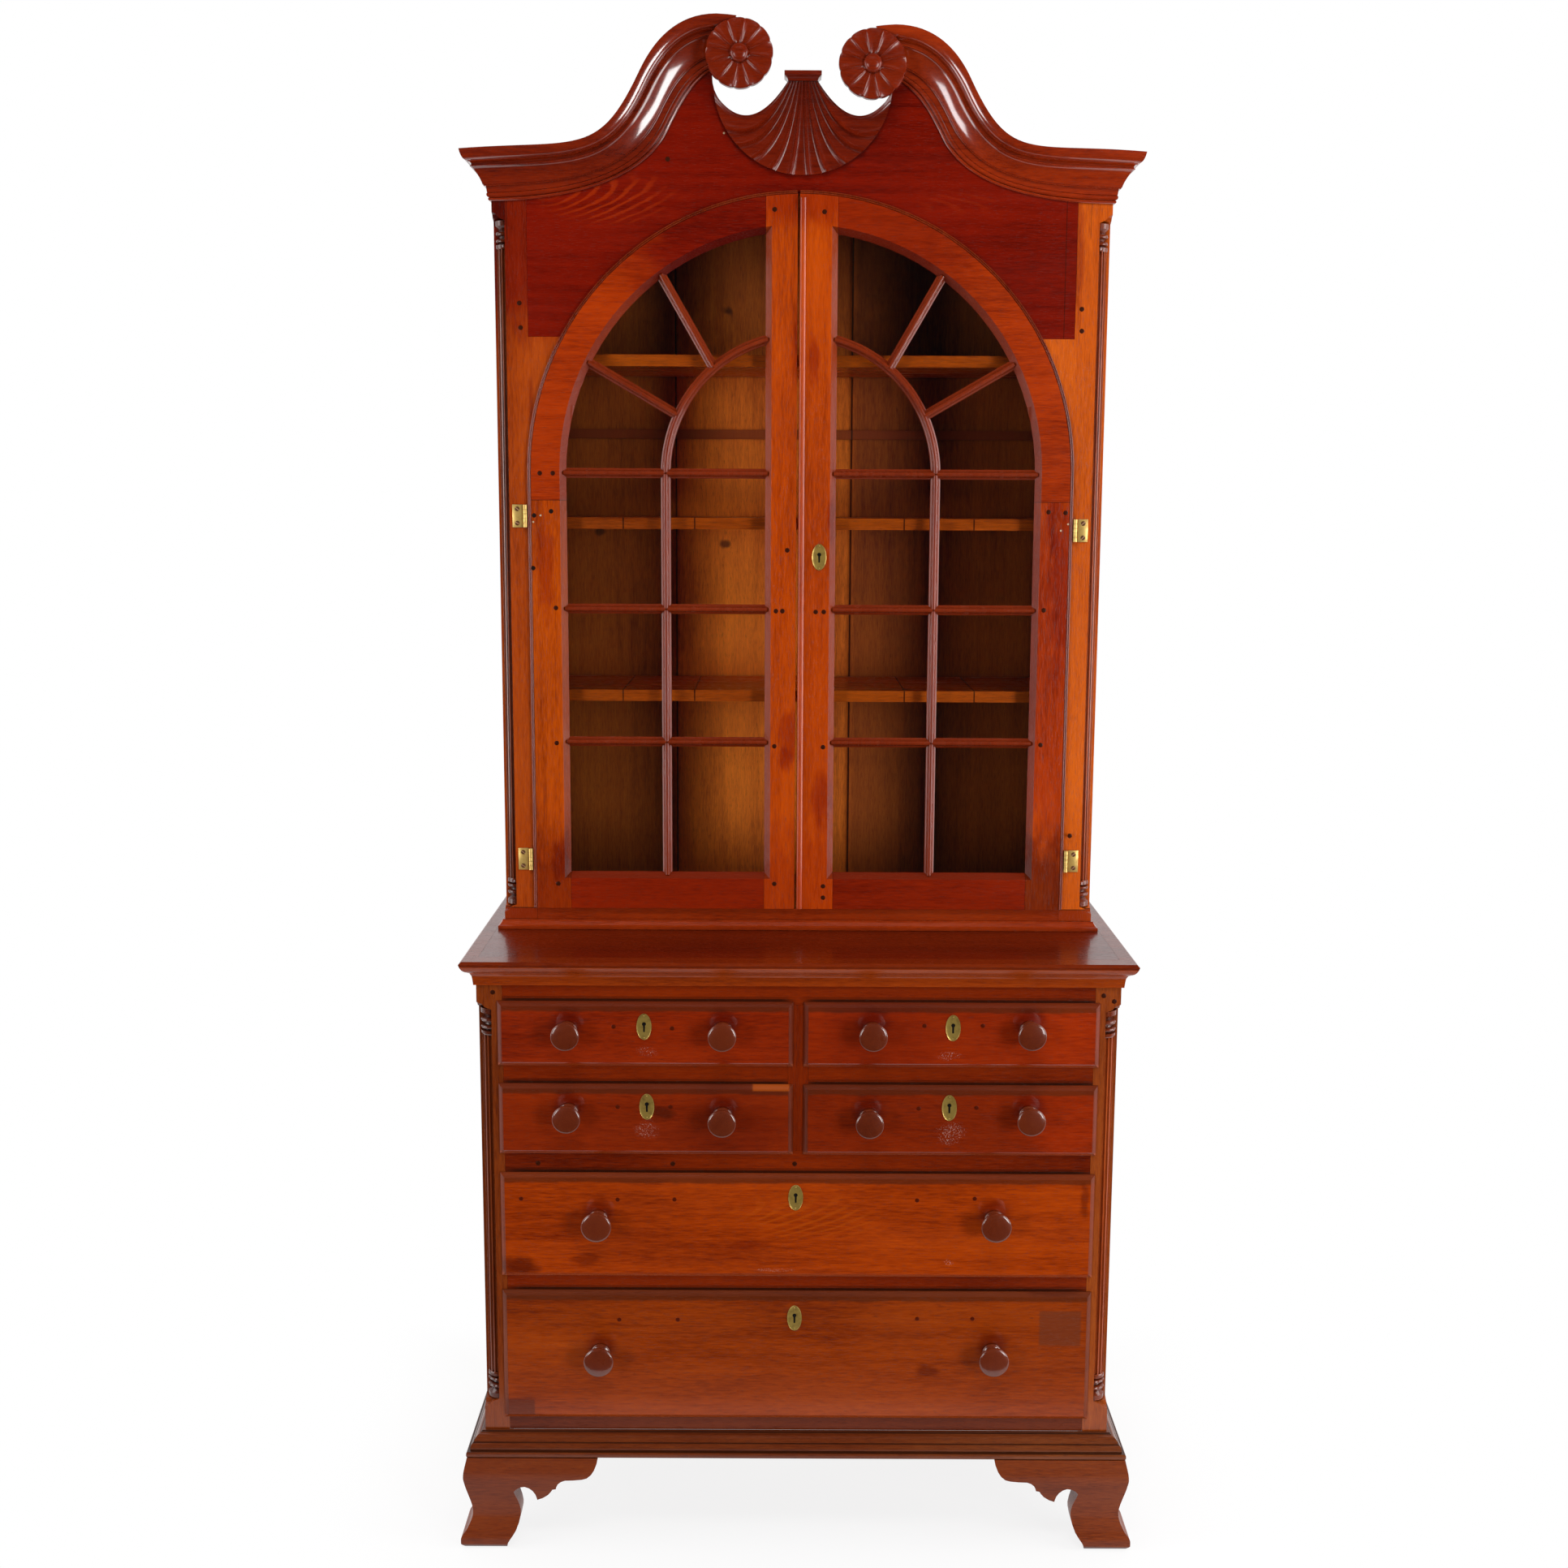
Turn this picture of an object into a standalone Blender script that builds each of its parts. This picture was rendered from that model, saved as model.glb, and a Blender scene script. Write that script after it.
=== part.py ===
# Bookcase on chest: a chest of six drawers on ogee bracket feet carries a shallow bookcase whose two
# arched glazed doors stand under a swan-neck pediment with carved rosettes and a fluted shell.
# Metres, +Z up, the front faces -Y, and the origin is on the floor under the middle of the piece.
import math

import bmesh
import bpy
from mathutils import Vector

# Clearances
GAP = 0.0003  # between pieces that are glued or rest on each other
SLIDE = 0.0015  # around a drawer in its opening
RUNNER_GAP = 0.0005  # under a drawer, above what it slides on
LIP_GAP = 0.0005  # behind a lip that laps the case
DOOR_PLAY = 0.0015  # around a door in its opening
GLASS_PLAY = 0.001  # around a sheet of glass in its rebate
WELD = 0.00001  # points closer than this are one point
OVERCUT = 0.004  # how far a cutter runs past the face it opens

# Chest case
CHEST_WIDTH = 0.985
CHEST_DEPTH = 0.495
FOOT_HEIGHT = 0.147
BOTTOM_THICK = 0.0266
SIDE_THICK = 0.018
BACK_THICK = 0.012
BACK_REBATE = 0.006
POST_WIDTH = 0.039
POST_DEPTH = 0.034
RAIL_LOWER = 0.034
RAIL_MIDDLE = 0.0407
RAIL_UPPER = 0.0386
RAIL_TOP = 0.0552
ROW_BOTTOM = 0.2024
ROW_THIRD = 0.1583
ROW_SECOND = 0.1024
ROW_TOP = 0.092
DIVIDER_WIDTH = 0.031
RUNNER_WIDTH = 0.016
RUNNER_HEIGHT = 0.020
GUIDE_HEIGHT = 0.022

# Chest mouldings, top and columns
BASE_MOULD_HEIGHT = 0.036
BASE_MOULD_OUT = 0.027
TOP_THICK = 0.0145
TOP_OUT = 0.023
TOP_MOULD_HEIGHT = 0.040
TOP_BORDER_FRONT = 0.012
TOP_BORDER_SIDE = 0.002
CHEST_COLUMN_RADIUS = 0.0195
CHEST_COLUMN_FOOT = 0.050  # from the top of the base moulding
CHEST_COLUMN_HEAD = 0.065  # down from the underside of the top

# Feet
FOOT_WING = 0.1802
FOOT_TOE = 0.0365
FOOT_WAIST = 0.0192
FOOT_BULGE = 0.0317
FOOT_SEAT = 0.012  # how far a bracket reaches under the case
REAR_BRACE_THICK = 0.018
REAR_BRACE_LENGTH = 0.120
REAR_BRACE_INSET = 0.002

# Drawers
DRAWER_BACK_ROOM = 0.033  # left free behind a drawer
DRAWER_LIP = 0.005
LIP_PROUD = 0.008
LIP_EDGE = 0.008
FRONT_DEEP = 0.014
DRAWER_SIDE = 0.012
DRAWER_BOTTOM = 0.010
DRAWER_TOP_ROOM = 0.008
KNOB_RADIUS = 0.022
KNOB_RADIUS_LONG = 0.0235
KNOB_LENGTH = 0.038
KNOB_NECK = 0.0095
KNOB_SPREAD = 0.119
KNOB_SPREAD_LONG = 0.308
KNOB_RISE = 0.0077

# Bookcase case
BOOK_INSET = 0.0145  # how far its sides stand in from the sides of the chest
SETBACK = 0.205  # how far its face stands back from the face of the chest
WAIST_HEIGHT = 0.015
WAIST_OUT = 0.010
FLOOR_RISE = 0.019
STILE_WIDTH = 0.0531
STILE_DEPTH = 0.030
SPRING_RISE = 0.6988  # from the floor of the bookcase to the spring of the arch
SHELF_THICK = 0.018
SHELF_FRONT = 0.034
SHELF_LOWER = 0.3534  # top of a shelf above the floor of the bookcase
SHELF_MIDDLE = 0.6294
SHELF_UPPER = 0.8835
DADO = 0.006
BACK_SEAM_LEFT = 0.212  # from the middle
BACK_SEAM_RIGHT = 0.088
SEAM_DEPTH = 0.004
BATTEN_RISE = 0.7614
BATTEN_HEIGHT = 0.015
BATTEN_THICK = 0.008
TOP_BOARD = 0.016
TOP_BOARD_RISE = 0.006
BOOK_COLUMN_RADIUS = 0.0165
BOOK_COLUMN_FOOT = 0.024
BOOK_COLUMN_HEAD = 0.028
COLUMN_SET = 0.003  # how far a column stands back from the corner it fills
COLUMN_RINGS = 0.036  # height of the turned rings at each end of a column
TONGUE = 0.013
FLUTE_DEPTH = 0.0022
FLUTES = 4

# Pediment
TYMPANUM_THICK = 0.020
TYMPANUM_RISE = 0.2085
CORNICE_DROP = 0.0139  # below the crown of the arch
CORNICE_HEIGHT = 0.0705
CORNICE_OUT = 0.0417
ROSETTE_RADIUS = 0.051
ROSETTE_THICK = 0.015
ROSETTE_STAND = 0.030  # from the face of the tympanum to the back of the disc
ROSETTE_HUB = 0.034
ROSETTE_LEFT = (0.0963, 0.196)  # from the middle, and above the crown of the arch
ROSETTE_RIGHT = (0.1042, 0.1817)
PETALS = 12
PETAL_DEPTH = 0.0028
SCROLL_OPENING = (0.0804, 0.1712)
SCROLL_OPENING_RADIUS = 0.0581
SHELL_RADIUS = 0.137
SHELL_RISE = 0.1628
SHELL_THICK = 0.008
SHELL_FLUTES = 12
FLUTE_RIDGE = 0.0028
CAP_HALF = 0.0283
CAP_HEIGHT = 0.0139
CAP_OUT = 0.018

# Doors
DOOR_THICK = 0.023
DOOR_PROUD = 0.007
DOOR_LIP = 0.0055
DOOR_SILL_GAP = 0.001
MEETING_LEFT = 0.0065  # edge of the left door, left of the middle
MEETING_RIGHT = 0.0035  # edge of the right door, left of the middle
BEAD_WIDTH = 0.010
BEAD_PROUD = 0.004
FRAME_STILE = 0.0546
FRAME_SILL = 0.0591
MEETING_OPENING = 0.0556
REBATE = 0.007
REBATE_DEPTH = 0.013
OVOLO = 0.006
GLASS_THICK = 0.003
BAR_BACK = 0.016
BAR_FRONT = 0.006
BAR_SET = 0.003
BAR_STEP = 0.0002  # crossing bars differ by this in depth
BAR_TENON = 0.020  # drawn past the opening before the bars are trimmed to it
PANE_ROWS = 3
FAN_PANES = 3

# Hinges
HINGE_HEIGHT = 0.036
HINGE_LEAF = 0.021
HINGE_THICK = 0.002
BARREL_RADIUS = 0.0033
BARREL_OUT = 0.0045  # from the edge of the door's lip and from the face of the stile
HINGE_LOWER = 0.081  # above the floor of the bookcase
HINGE_UPPER_LEFT = 0.6313
HINGE_UPPER_RIGHT = 0.6125

ARC_STEPS = 20
TURN_STEPS = 14
ROUND_STEPS = 36

# Levels and widths that follow from the sizes above
CHEST_HALF = CHEST_WIDTH / 2
CHEST_INNER = CHEST_HALF - SIDE_THICK
DRAWER_HALF = CHEST_HALF - POST_WIDTH
BASE_TOP = FOOT_HEIGHT + BASE_MOULD_HEIGHT
LEVEL_BOTTOM = BASE_TOP + BOTTOM_THICK
LEVEL_THIRD = LEVEL_BOTTOM + ROW_BOTTOM + RAIL_LOWER
LEVEL_SECOND = LEVEL_THIRD + ROW_THIRD + RAIL_MIDDLE
LEVEL_TOP = LEVEL_SECOND + ROW_SECOND + RAIL_UPPER
CASE_TOP = LEVEL_TOP + ROW_TOP + RAIL_TOP
CHEST_HEIGHT = CASE_TOP + GAP + TOP_THICK
BACK_FACE = CHEST_DEPTH - BACK_THICK
DRAWER_LENGTH = BACK_FACE - DRAWER_BACK_ROOM
KNOB_REACH = LIP_PROUD + KNOB_LENGTH
FACE_Y = (KNOB_REACH - CHEST_DEPTH) / 2
CHEST_NOTCH = CHEST_COLUMN_RADIUS + COLUMN_SET

BOOK_HALF = CHEST_HALF - BOOK_INSET
BOOK_DEPTH = CHEST_DEPTH - SETBACK
BOOK_INNER = BOOK_HALF - SIDE_THICK
BOOK_BACK_FACE = BOOK_DEPTH - BACK_THICK
FLOOR = WAIST_HEIGHT + FLOOR_RISE
OPENING = BOOK_HALF - STILE_WIDTH
SPRING = FLOOR + SPRING_RISE
CROWN = SPRING + OPENING
TYMPANUM_BOTTOM = SPRING + TYMPANUM_RISE
CORNICE_BOTTOM = CROWN - CORNICE_DROP
CORNICE_TOP = CORNICE_BOTTOM + CORNICE_HEIGHT
CASE_RISE = CORNICE_TOP - TOP_BOARD_RISE
TOP_UNDER = CROWN + TOP_BOARD_RISE
BOOK_NOTCH = BOOK_COLUMN_RADIUS + COLUMN_SET
CAP_BOTTOM = CROWN + SHELL_RISE
SHELVES = {"lower": SHELF_LOWER, "middle": SHELF_MIDDLE, "upper": SHELF_UPPER}

DOOR_BODY = OPENING - DOOR_PLAY
DOOR_EDGE = DOOR_BODY + DOOR_LIP
DOOR_BOTTOM = FLOOR + DOOR_SILL_GAP
DOOR_BACK = DOOR_THICK - DOOR_PROUD
GLASS_EDGE = DOOR_BODY - FRAME_STILE
GLASS_SILL = DOOR_BOTTOM + FRAME_SILL
GLASS_FACE = REBATE_DEPTH - DOOR_PROUD
AXIS_X = DOOR_EDGE + BARREL_OUT
AXIS_Y = -BARREL_OUT

SIDES = {"left": -1, "right": 1}

MAHOGANY = ((0.26, 0.06, 0.02), 0.30, 0.0)
DARK_WOOD = ((0.17, 0.035, 0.012), 0.28, 0.0)
LIGHT_WOOD = ((0.40, 0.13, 0.03), 0.32, 0.0)
PINE = ((0.38, 0.20, 0.08), 0.60, 0.0)
BRASS = ((0.80, 0.60, 0.24), 0.30, 1.0)
GLASS = ((0.75, 0.80, 0.78), 0.05, 0.0)


def group(name, location, parent=None):
    empty = bpy.data.objects.new(name, None)
    empty.location = location
    empty.parent = parent
    bpy.context.collection.objects.link(empty)
    return empty


def mesh_object(name, parent, form):
    # Runs a form in a new mesh; what hangs on a moving group is drawn from that group's own origin.
    grid = bmesh.new()
    form(grid)
    bmesh.ops.recalc_face_normals(grid, faces=grid.faces)
    if parent.parent:
        bmesh.ops.translate(grid, verts=grid.verts, vec=-parent.location)
    mesh = bpy.data.meshes.new(name)
    grid.to_mesh(mesh)
    grid.free()
    item = bpy.data.objects.new(name, mesh)
    item.parent = parent
    bpy.context.collection.objects.link(item)
    return item


def piece(name, parent, look, form, round_edges=None):
    item = mesh_object(name, parent, form)
    colour, roughness, metallic = look
    material = bpy.data.materials.new(name)
    material.use_nodes = True
    shader = material.node_tree.nodes["Principled BSDF"]
    shader.inputs["Base Color"].default_value = (*colour, 1.0)
    shader.inputs["Roughness"].default_value = roughness
    shader.inputs["Metallic"].default_value = metallic
    item.data.materials.append(material)
    if round_edges:
        item.data.shade_smooth()
        item.data.set_sharp_from_angle(angle=math.radians(round_edges))
    return item


def shape(target, operation, label, form):
    # Adds, cuts or keeps a second form on a piece; the tool itself is only a guide.
    tool = mesh_object(f"{target.name}_{label}", target.parent, form)
    tool.hide_render = True
    tool.display_type = "WIRE"
    step = target.modifiers.new(label, "BOOLEAN")
    step.operation = operation
    step.solver = "EXACT"
    step.object = tool


def extruded(outline, offset):
    # A flat outline drawn out along a straight offset.
    def form(grid):
        face = grid.faces.new([grid.verts.new(point) for point in outline])
        drawn = bmesh.ops.extrude_face_region(grid, geom=[face])
        moved = [item for item in drawn["geom"] if isinstance(item, bmesh.types.BMVert)]
        bmesh.ops.translate(grid, verts=moved, vec=offset)
    return form


def along_x(outline, low, high):
    return extruded([(low, y, z) for y, z in outline], (high - low, 0, 0))


def along_y(outline, low, high):
    return extruded([(x, low, z) for x, z in outline], (0, high - low, 0))


def along_z(outline, low, high):
    return extruded([(x, y, low) for x, y in outline], (0, 0, high - low))


def block(x_low, x_high, y_low, y_high, z_low, z_high):
    return along_z([(x_low, y_low), (x_high, y_low), (x_high, y_high), (x_low, y_high)], z_low, z_high)


def turned(profile, centre, steps=TURN_STEPS):
    # A profile of (radius, distance in front of the centre) spun about an axis along Y.
    x, y, z = centre
    profile = [(0.0, profile[0][1]), *profile, (0.0, profile[-1][1])]

    def form(grid):
        points = [grid.verts.new((x + radius, y - out, z)) for radius, out in profile]
        edges = [grid.edges.new(pair) for pair in zip(points, points[1:])]
        bmesh.ops.spin(grid, geom=[*points, *edges], cent=centre, axis=(0, 1, 0),
                       angle=2 * math.pi, steps=steps, use_merge=True)
        bmesh.ops.remove_doubles(grid, verts=grid.verts, dist=WELD)
    return form


def lofted(rings, closed=False):
    # A skin laid point to point from ring to ring, capped at both ends unless the rings close on themselves.
    def form(grid):
        loops = [[grid.verts.new(point) for point in ring] for ring in rings]
        followers = loops[1:] + loops[:1] if closed else loops[1:]
        for near, far in zip(loops, followers):
            for here in range(len(near)):
                grid.faces.new((near[here - 1], near[here], far[here], far[here - 1]))
        if not closed:
            grid.faces.new(loops[0])
            grid.faces.new(loops[-1])
    return form


def handed(form, side):
    # The same form for the right side (1) or mirrored for the left (-1).
    def mirrored(grid):
        form(grid)
        bmesh.ops.scale(grid, verts=grid.verts, vec=(side, 1, 1))
    return mirrored


def both_halves(outline):
    # Closes the right half of an outline with its mirror image.
    return [*outline, *[(-x, y) for x, y in reversed(outline)]]


def arc(centre, radius, start, end, steps=ARC_STEPS):
    angles = [start + (end - start) * step / steps for step in range(steps + 1)]
    return [(centre[0] + radius * math.cos(a), centre[1] + radius * math.sin(a)) for a in angles]


def arc_through(first, middle, last, steps):
    # Points on the circle through three points, from the first to the last.
    (ax, ay), (bx, by), (cx, cy) = first, middle, last
    turn = 2 * (ax * (by - cy) + bx * (cy - ay) + cx * (ay - by))
    sums = [x * x + y * y for x, y in (first, middle, last)]
    ox = (sums[0] * (by - cy) + sums[1] * (cy - ay) + sums[2] * (ay - by)) / turn
    oy = (sums[0] * (cx - bx) + sums[1] * (ax - cx) + sums[2] * (bx - ax)) / turn
    start, end = math.atan2(ay - oy, ax - ox), math.atan2(cy - oy, cx - ox)
    full = 2 * math.pi
    sweep = (end - start) % full if turn > 0 else -((start - end) % full)
    return arc((ox, oy), math.hypot(ax - ox, ay - oy), start, start + sweep, steps)


def swing(start, start_angle, start_reach, end, end_angle, end_reach, steps):
    # A cubic curve that leaves the start and reaches the end at given angles.
    a, d = Vector(start), Vector(end)
    b = a + start_reach * Vector((math.cos(start_angle), math.sin(start_angle)))
    c = d - end_reach * Vector((math.cos(end_angle), math.sin(end_angle)))
    points = []
    for step in range(steps + 1):
        t = step / steps
        s = 1 - t
        points.append(tuple(s**3 * a + 3 * t * s * s * b + 3 * t * t * s * c + t**3 * d))
    return points


def smooth_line(points, steps):
    # A Catmull-Rom curve through the points.
    ends = [points[0], *points, points[-1]]
    line = []
    for a, b, c, d in zip(ends, ends[1:], ends[2:], ends[3:]):
        for step in range(steps):
            t = step / steps
            point = []
            for p, q, r, s in zip(a, b, c, d):
                square, cube = 2 * p - 5 * q + 4 * r - s, 3 * q - p - 3 * r + s
                point.append(0.5 * (2 * q + (r - p) * t + square * t * t + cube * t**3))
            line.append(tuple(point))
    return [*line, points[-1]]


def scaled(points, across, up, rise=0.0):
    # Points given as shares of a width and a height, lifted to their level.
    return [(x * across, rise + z * up) for x, z in points]


def wrapped(section, half, back):
    # A moulding round the front and both sides: (out at the side, out at the front, height).
    left_back = [(-half - side, back, z) for side, front, z in section]
    left_front = [(-half - side, -front, z) for side, front, z in section]
    right_front = [(half + side, -front, z) for side, front, z in section]
    right_back = [(half + side, back, z) for side, front, z in section]
    return lofted([left_back, left_front, right_front, right_back])


def corner_notch(half, notch, low, high):
    # The corner recess for a quarter column, run out at each end in a lamb's tongue.
    tongue = [(1.0, -0.1), (0.7, 0.35), (0.3, 0.55), (0.0, 1.0)]
    levels = [(low - TONGUE * away, share) for away, share in tongue]
    levels += [(high + TONGUE * away, share) for away, share in reversed(tongue)]
    edge = half + OVERCUT
    rings = []
    for z, share in levels:
        inner, depth = half - notch * share, notch * share
        rings.append([(inner, -OVERCUT, z), (edge, -OVERCUT, z), (edge, depth, z), (inner, depth, z)])
    return lofted(rings)


def quarter_column(half, notch, radius, low, high):
    # A fluted quarter shaft between turned rings.
    turnings = [(0.0, 1.0), (0.22, 1.0), (0.28, 0.86), (0.42, 0.86), (0.5, 0.98), (0.67, 0.98), (0.75, 0.84)]
    shaft = 0.88
    levels = [(low + COLUMN_RINGS * rise, share, 0.0) for rise, share in turnings]
    levels += [(low + COLUMN_RINGS, shaft, FLUTE_DEPTH), (high - COLUMN_RINGS, shaft, FLUTE_DEPTH)]
    levels += [(high - COLUMN_RINGS * rise, share, 0.0) for rise, share in reversed(turnings)]
    centre_x, centre_y = half - notch + GAP, notch - GAP
    points_per_flute = 3
    count = points_per_flute * FLUTES
    rings = []
    for z, share, flute in levels:
        ring = [(centre_x, centre_y, z)]
        for step in range(count + 1):
            angle = -math.pi / 2 * step / count
            reach = radius * share - (flute if step % points_per_flute else 0.0)
            ring.append((centre_x + reach * math.cos(angle), centre_y + reach * math.sin(angle), z))
        rings.append(ring)
    return lofted(rings)


def chest_case(chest):
    inner = [(CHEST_INNER, CASE_TOP)]
    for level in (LEVEL_TOP, LEVEL_SECOND, LEVEL_THIRD):
        inner += [
            (CHEST_INNER, level + GUIDE_HEIGHT), (DRAWER_HALF, level + GUIDE_HEIGHT), (DRAWER_HALF, level),
            (DRAWER_HALF - RUNNER_WIDTH, level), (DRAWER_HALF - RUNNER_WIDTH, level - RUNNER_HEIGHT),
            (CHEST_INNER, level - RUNNER_HEIGHT),
        ]
    inner += [
        (CHEST_INNER, LEVEL_BOTTOM + GUIDE_HEIGHT), (DRAWER_HALF, LEVEL_BOTTOM + GUIDE_HEIGHT),
        (DRAWER_HALF, LEVEL_BOTTOM + GAP), (CHEST_INNER, LEVEL_BOTTOM + GAP),
        (CHEST_INNER, FOOT_HEIGHT + GAP),
    ]
    outline = [(CHEST_HALF, FOOT_HEIGHT + GAP), (CHEST_HALF, CASE_TOP), *inner]
    low, high = BASE_TOP + CHEST_COLUMN_FOOT, CASE_TOP - CHEST_COLUMN_HEAD
    for word, side in SIDES.items():
        wall = piece(f"chest_side_{word}", chest, DARK_WOOD,
                     handed(along_y(outline, POST_DEPTH + GAP, CHEST_DEPTH), side))
        shape(wall, "DIFFERENCE", "back_rebate", handed(block(
            DRAWER_HALF - 2 * RUNNER_WIDTH, CHEST_INNER + BACK_REBATE, BACK_FACE - GAP, CHEST_DEPTH + OVERCUT,
            FOOT_HEIGHT - OVERCUT, CASE_TOP + OVERCUT), side))
        post = piece(f"chest_stile_{word}", chest, MAHOGANY, handed(
            block(DRAWER_HALF, CHEST_HALF, 0, POST_DEPTH, FOOT_HEIGHT + GAP, CASE_TOP), side))
        shape(post, "DIFFERENCE", "notch", handed(corner_notch(CHEST_HALF, CHEST_NOTCH, low, high), side))
        piece(f"chest_column_{word}", chest, DARK_WOOD, handed(
            quarter_column(CHEST_HALF, CHEST_NOTCH, CHEST_COLUMN_RADIUS, low, high), side), round_edges=40)

    front, behind = DRAWER_HALF - GAP, CHEST_INNER - GAP
    step = POST_DEPTH + GAP
    floor = both_halves([(front, 0), (front, step), (behind, step), (behind, BACK_FACE - GAP)])
    piece("chest_bottom", chest, MAHOGANY, along_z(floor, BASE_TOP, LEVEL_BOTTOM))
    panel = CHEST_INNER + BACK_REBATE - GAP
    piece("chest_back", chest, PINE, block(
        -panel, panel, BACK_FACE, CHEST_DEPTH, FOOT_HEIGHT + GAP, CASE_TOP))
    field = CHEST_HALF - TOP_BORDER_SIDE - GAP
    piece("chest_top", chest, DARK_WOOD, block(
        -field, field, TOP_BORDER_FRONT + GAP, CHEST_DEPTH, CASE_TOP + GAP, CHEST_HEIGHT))


def chest_rails(chest):
    reach = DRAWER_HALF - GAP
    rails = {
        "lower": (LEVEL_THIRD - RAIL_LOWER, LEVEL_THIRD),
        "middle": (LEVEL_SECOND - RAIL_MIDDLE, LEVEL_SECOND),
        "upper": (LEVEL_TOP - RAIL_UPPER, LEVEL_TOP),
        "top": (CASE_TOP - RAIL_TOP, CASE_TOP),
    }
    half = DIVIDER_WIDTH / 2
    edge = half + RUNNER_WIDTH
    tail = BACK_FACE - GAP
    for word, (low, high) in rails.items():
        rail = piece(f"chest_rail_{word}", chest, MAHOGANY, block(-reach, reach, 0, POST_DEPTH, low, high))
        if word in ("middle", "upper"):
            # The middle runner and guide carry the inner sides of the two short drawers above.
            shape(rail, "UNION", "runner", block(
                -edge, edge, 0.7 * POST_DEPTH, tail, high - RUNNER_HEIGHT, high - GAP))
            shape(rail, "UNION", "guide", block(
                -half, half, POST_DEPTH + GAP, tail - GAP, high - RUNNER_HEIGHT / 2, high + GUIDE_HEIGHT))
        if word == "upper":
            shape(rail, "DIFFERENCE", "halving", block(
                -half - GAP, half + GAP, -OVERCUT, POST_DEPTH / 2, low - OVERCUT, high + OVERCUT))
    divider = piece("chest_divider", chest, MAHOGANY, block(
        -half, half, 0, POST_DEPTH, LEVEL_SECOND + GAP, CASE_TOP - RAIL_TOP - GAP))
    low, high = rails["upper"]
    shape(divider, "DIFFERENCE", "halving", block(
        -edge, edge, POST_DEPTH / 2 - GAP, POST_DEPTH + OVERCUT, low - GAP, high + GAP))


def chest_mouldings(chest):
    # Sections from the lower inner corner outwards and up, as shares of the moulding's reach and height.
    base = [(0.93, 0.0), (1.0, 0.08), (1.0, 0.26), (0.78, 0.30)]
    base += arc_through((0.76, 0.34), (0.66, 0.58), (0.40, 0.72), 3)
    base += [(0.36, 0.78), (0.20, 0.86), (0.16, 1.0)]
    base = scaled(base, BASE_MOULD_OUT, BASE_MOULD_HEIGHT - GAP, FOOT_HEIGHT + GAP)
    base = [(GAP, FOOT_HEIGHT + GAP), *base, (GAP, BASE_TOP)]
    piece("base_moulding", chest, MAHOGANY, wrapped([(p, p, z) for p, z in base], CHEST_HALF, CHEST_DEPTH))

    low = CHEST_HEIGHT - TOP_MOULD_HEIGHT
    edge = [(0.16, 0.0), *arc_through((0.195, 0.19), (0.30, 0.44), (0.52, 0.54), 3)]
    edge += [*arc_through((0.60, 0.56), (0.91, 0.755), (1.0, 0.90), 4), (0.83, 1.0)]
    edge = scaled(edge, TOP_OUT, TOP_MOULD_HEIGHT, low)
    section = [(p, p, z) for p, z in [(GAP, low), *edge]]
    for z in (CHEST_HEIGHT, CASE_TOP + GAP):
        section.append((-TOP_BORDER_SIDE, -TOP_BORDER_FRONT, z))
    section.append((GAP, GAP, CASE_TOP + GAP))
    piece("chest_top_moulding", chest, DARK_WOOD, wrapped(section, CHEST_HALF, CHEST_DEPTH))


def bracket_outline():
    # The scrolled edge of a bracket as shares of its wing and height, from the sole to the far end.
    line = arc_through((0.186, 0.0), (0.205, 0.112), (0.272, 0.184), 3)
    line += arc_through((0.297, 0.228), (0.3035, 0.306), (0.2775, 0.473), 4)
    line += arc_through((0.260, 0.608), (0.3385, 0.670), (0.412, 0.628), 4)
    line += arc_through((0.453, 0.480), (0.527, 0.531), (0.592, 0.633), 4)
    line += arc_through((0.631, 0.652), (0.6465, 0.7245), (0.694, 0.7565), 2)
    line += arc_through((0.869, 0.782), (0.9545, 0.871), (1.0, 1.0), 3)
    line = scaled(line, FOOT_WING, FOOT_HEIGHT)
    high, below, beyond = FOOT_HEIGHT + OVERCUT, -OVERCUT, 2 * FOOT_WING
    return [*line, (FOOT_WING, high), (beyond, high), (beyond, below), (line[0][0], below)]


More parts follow.
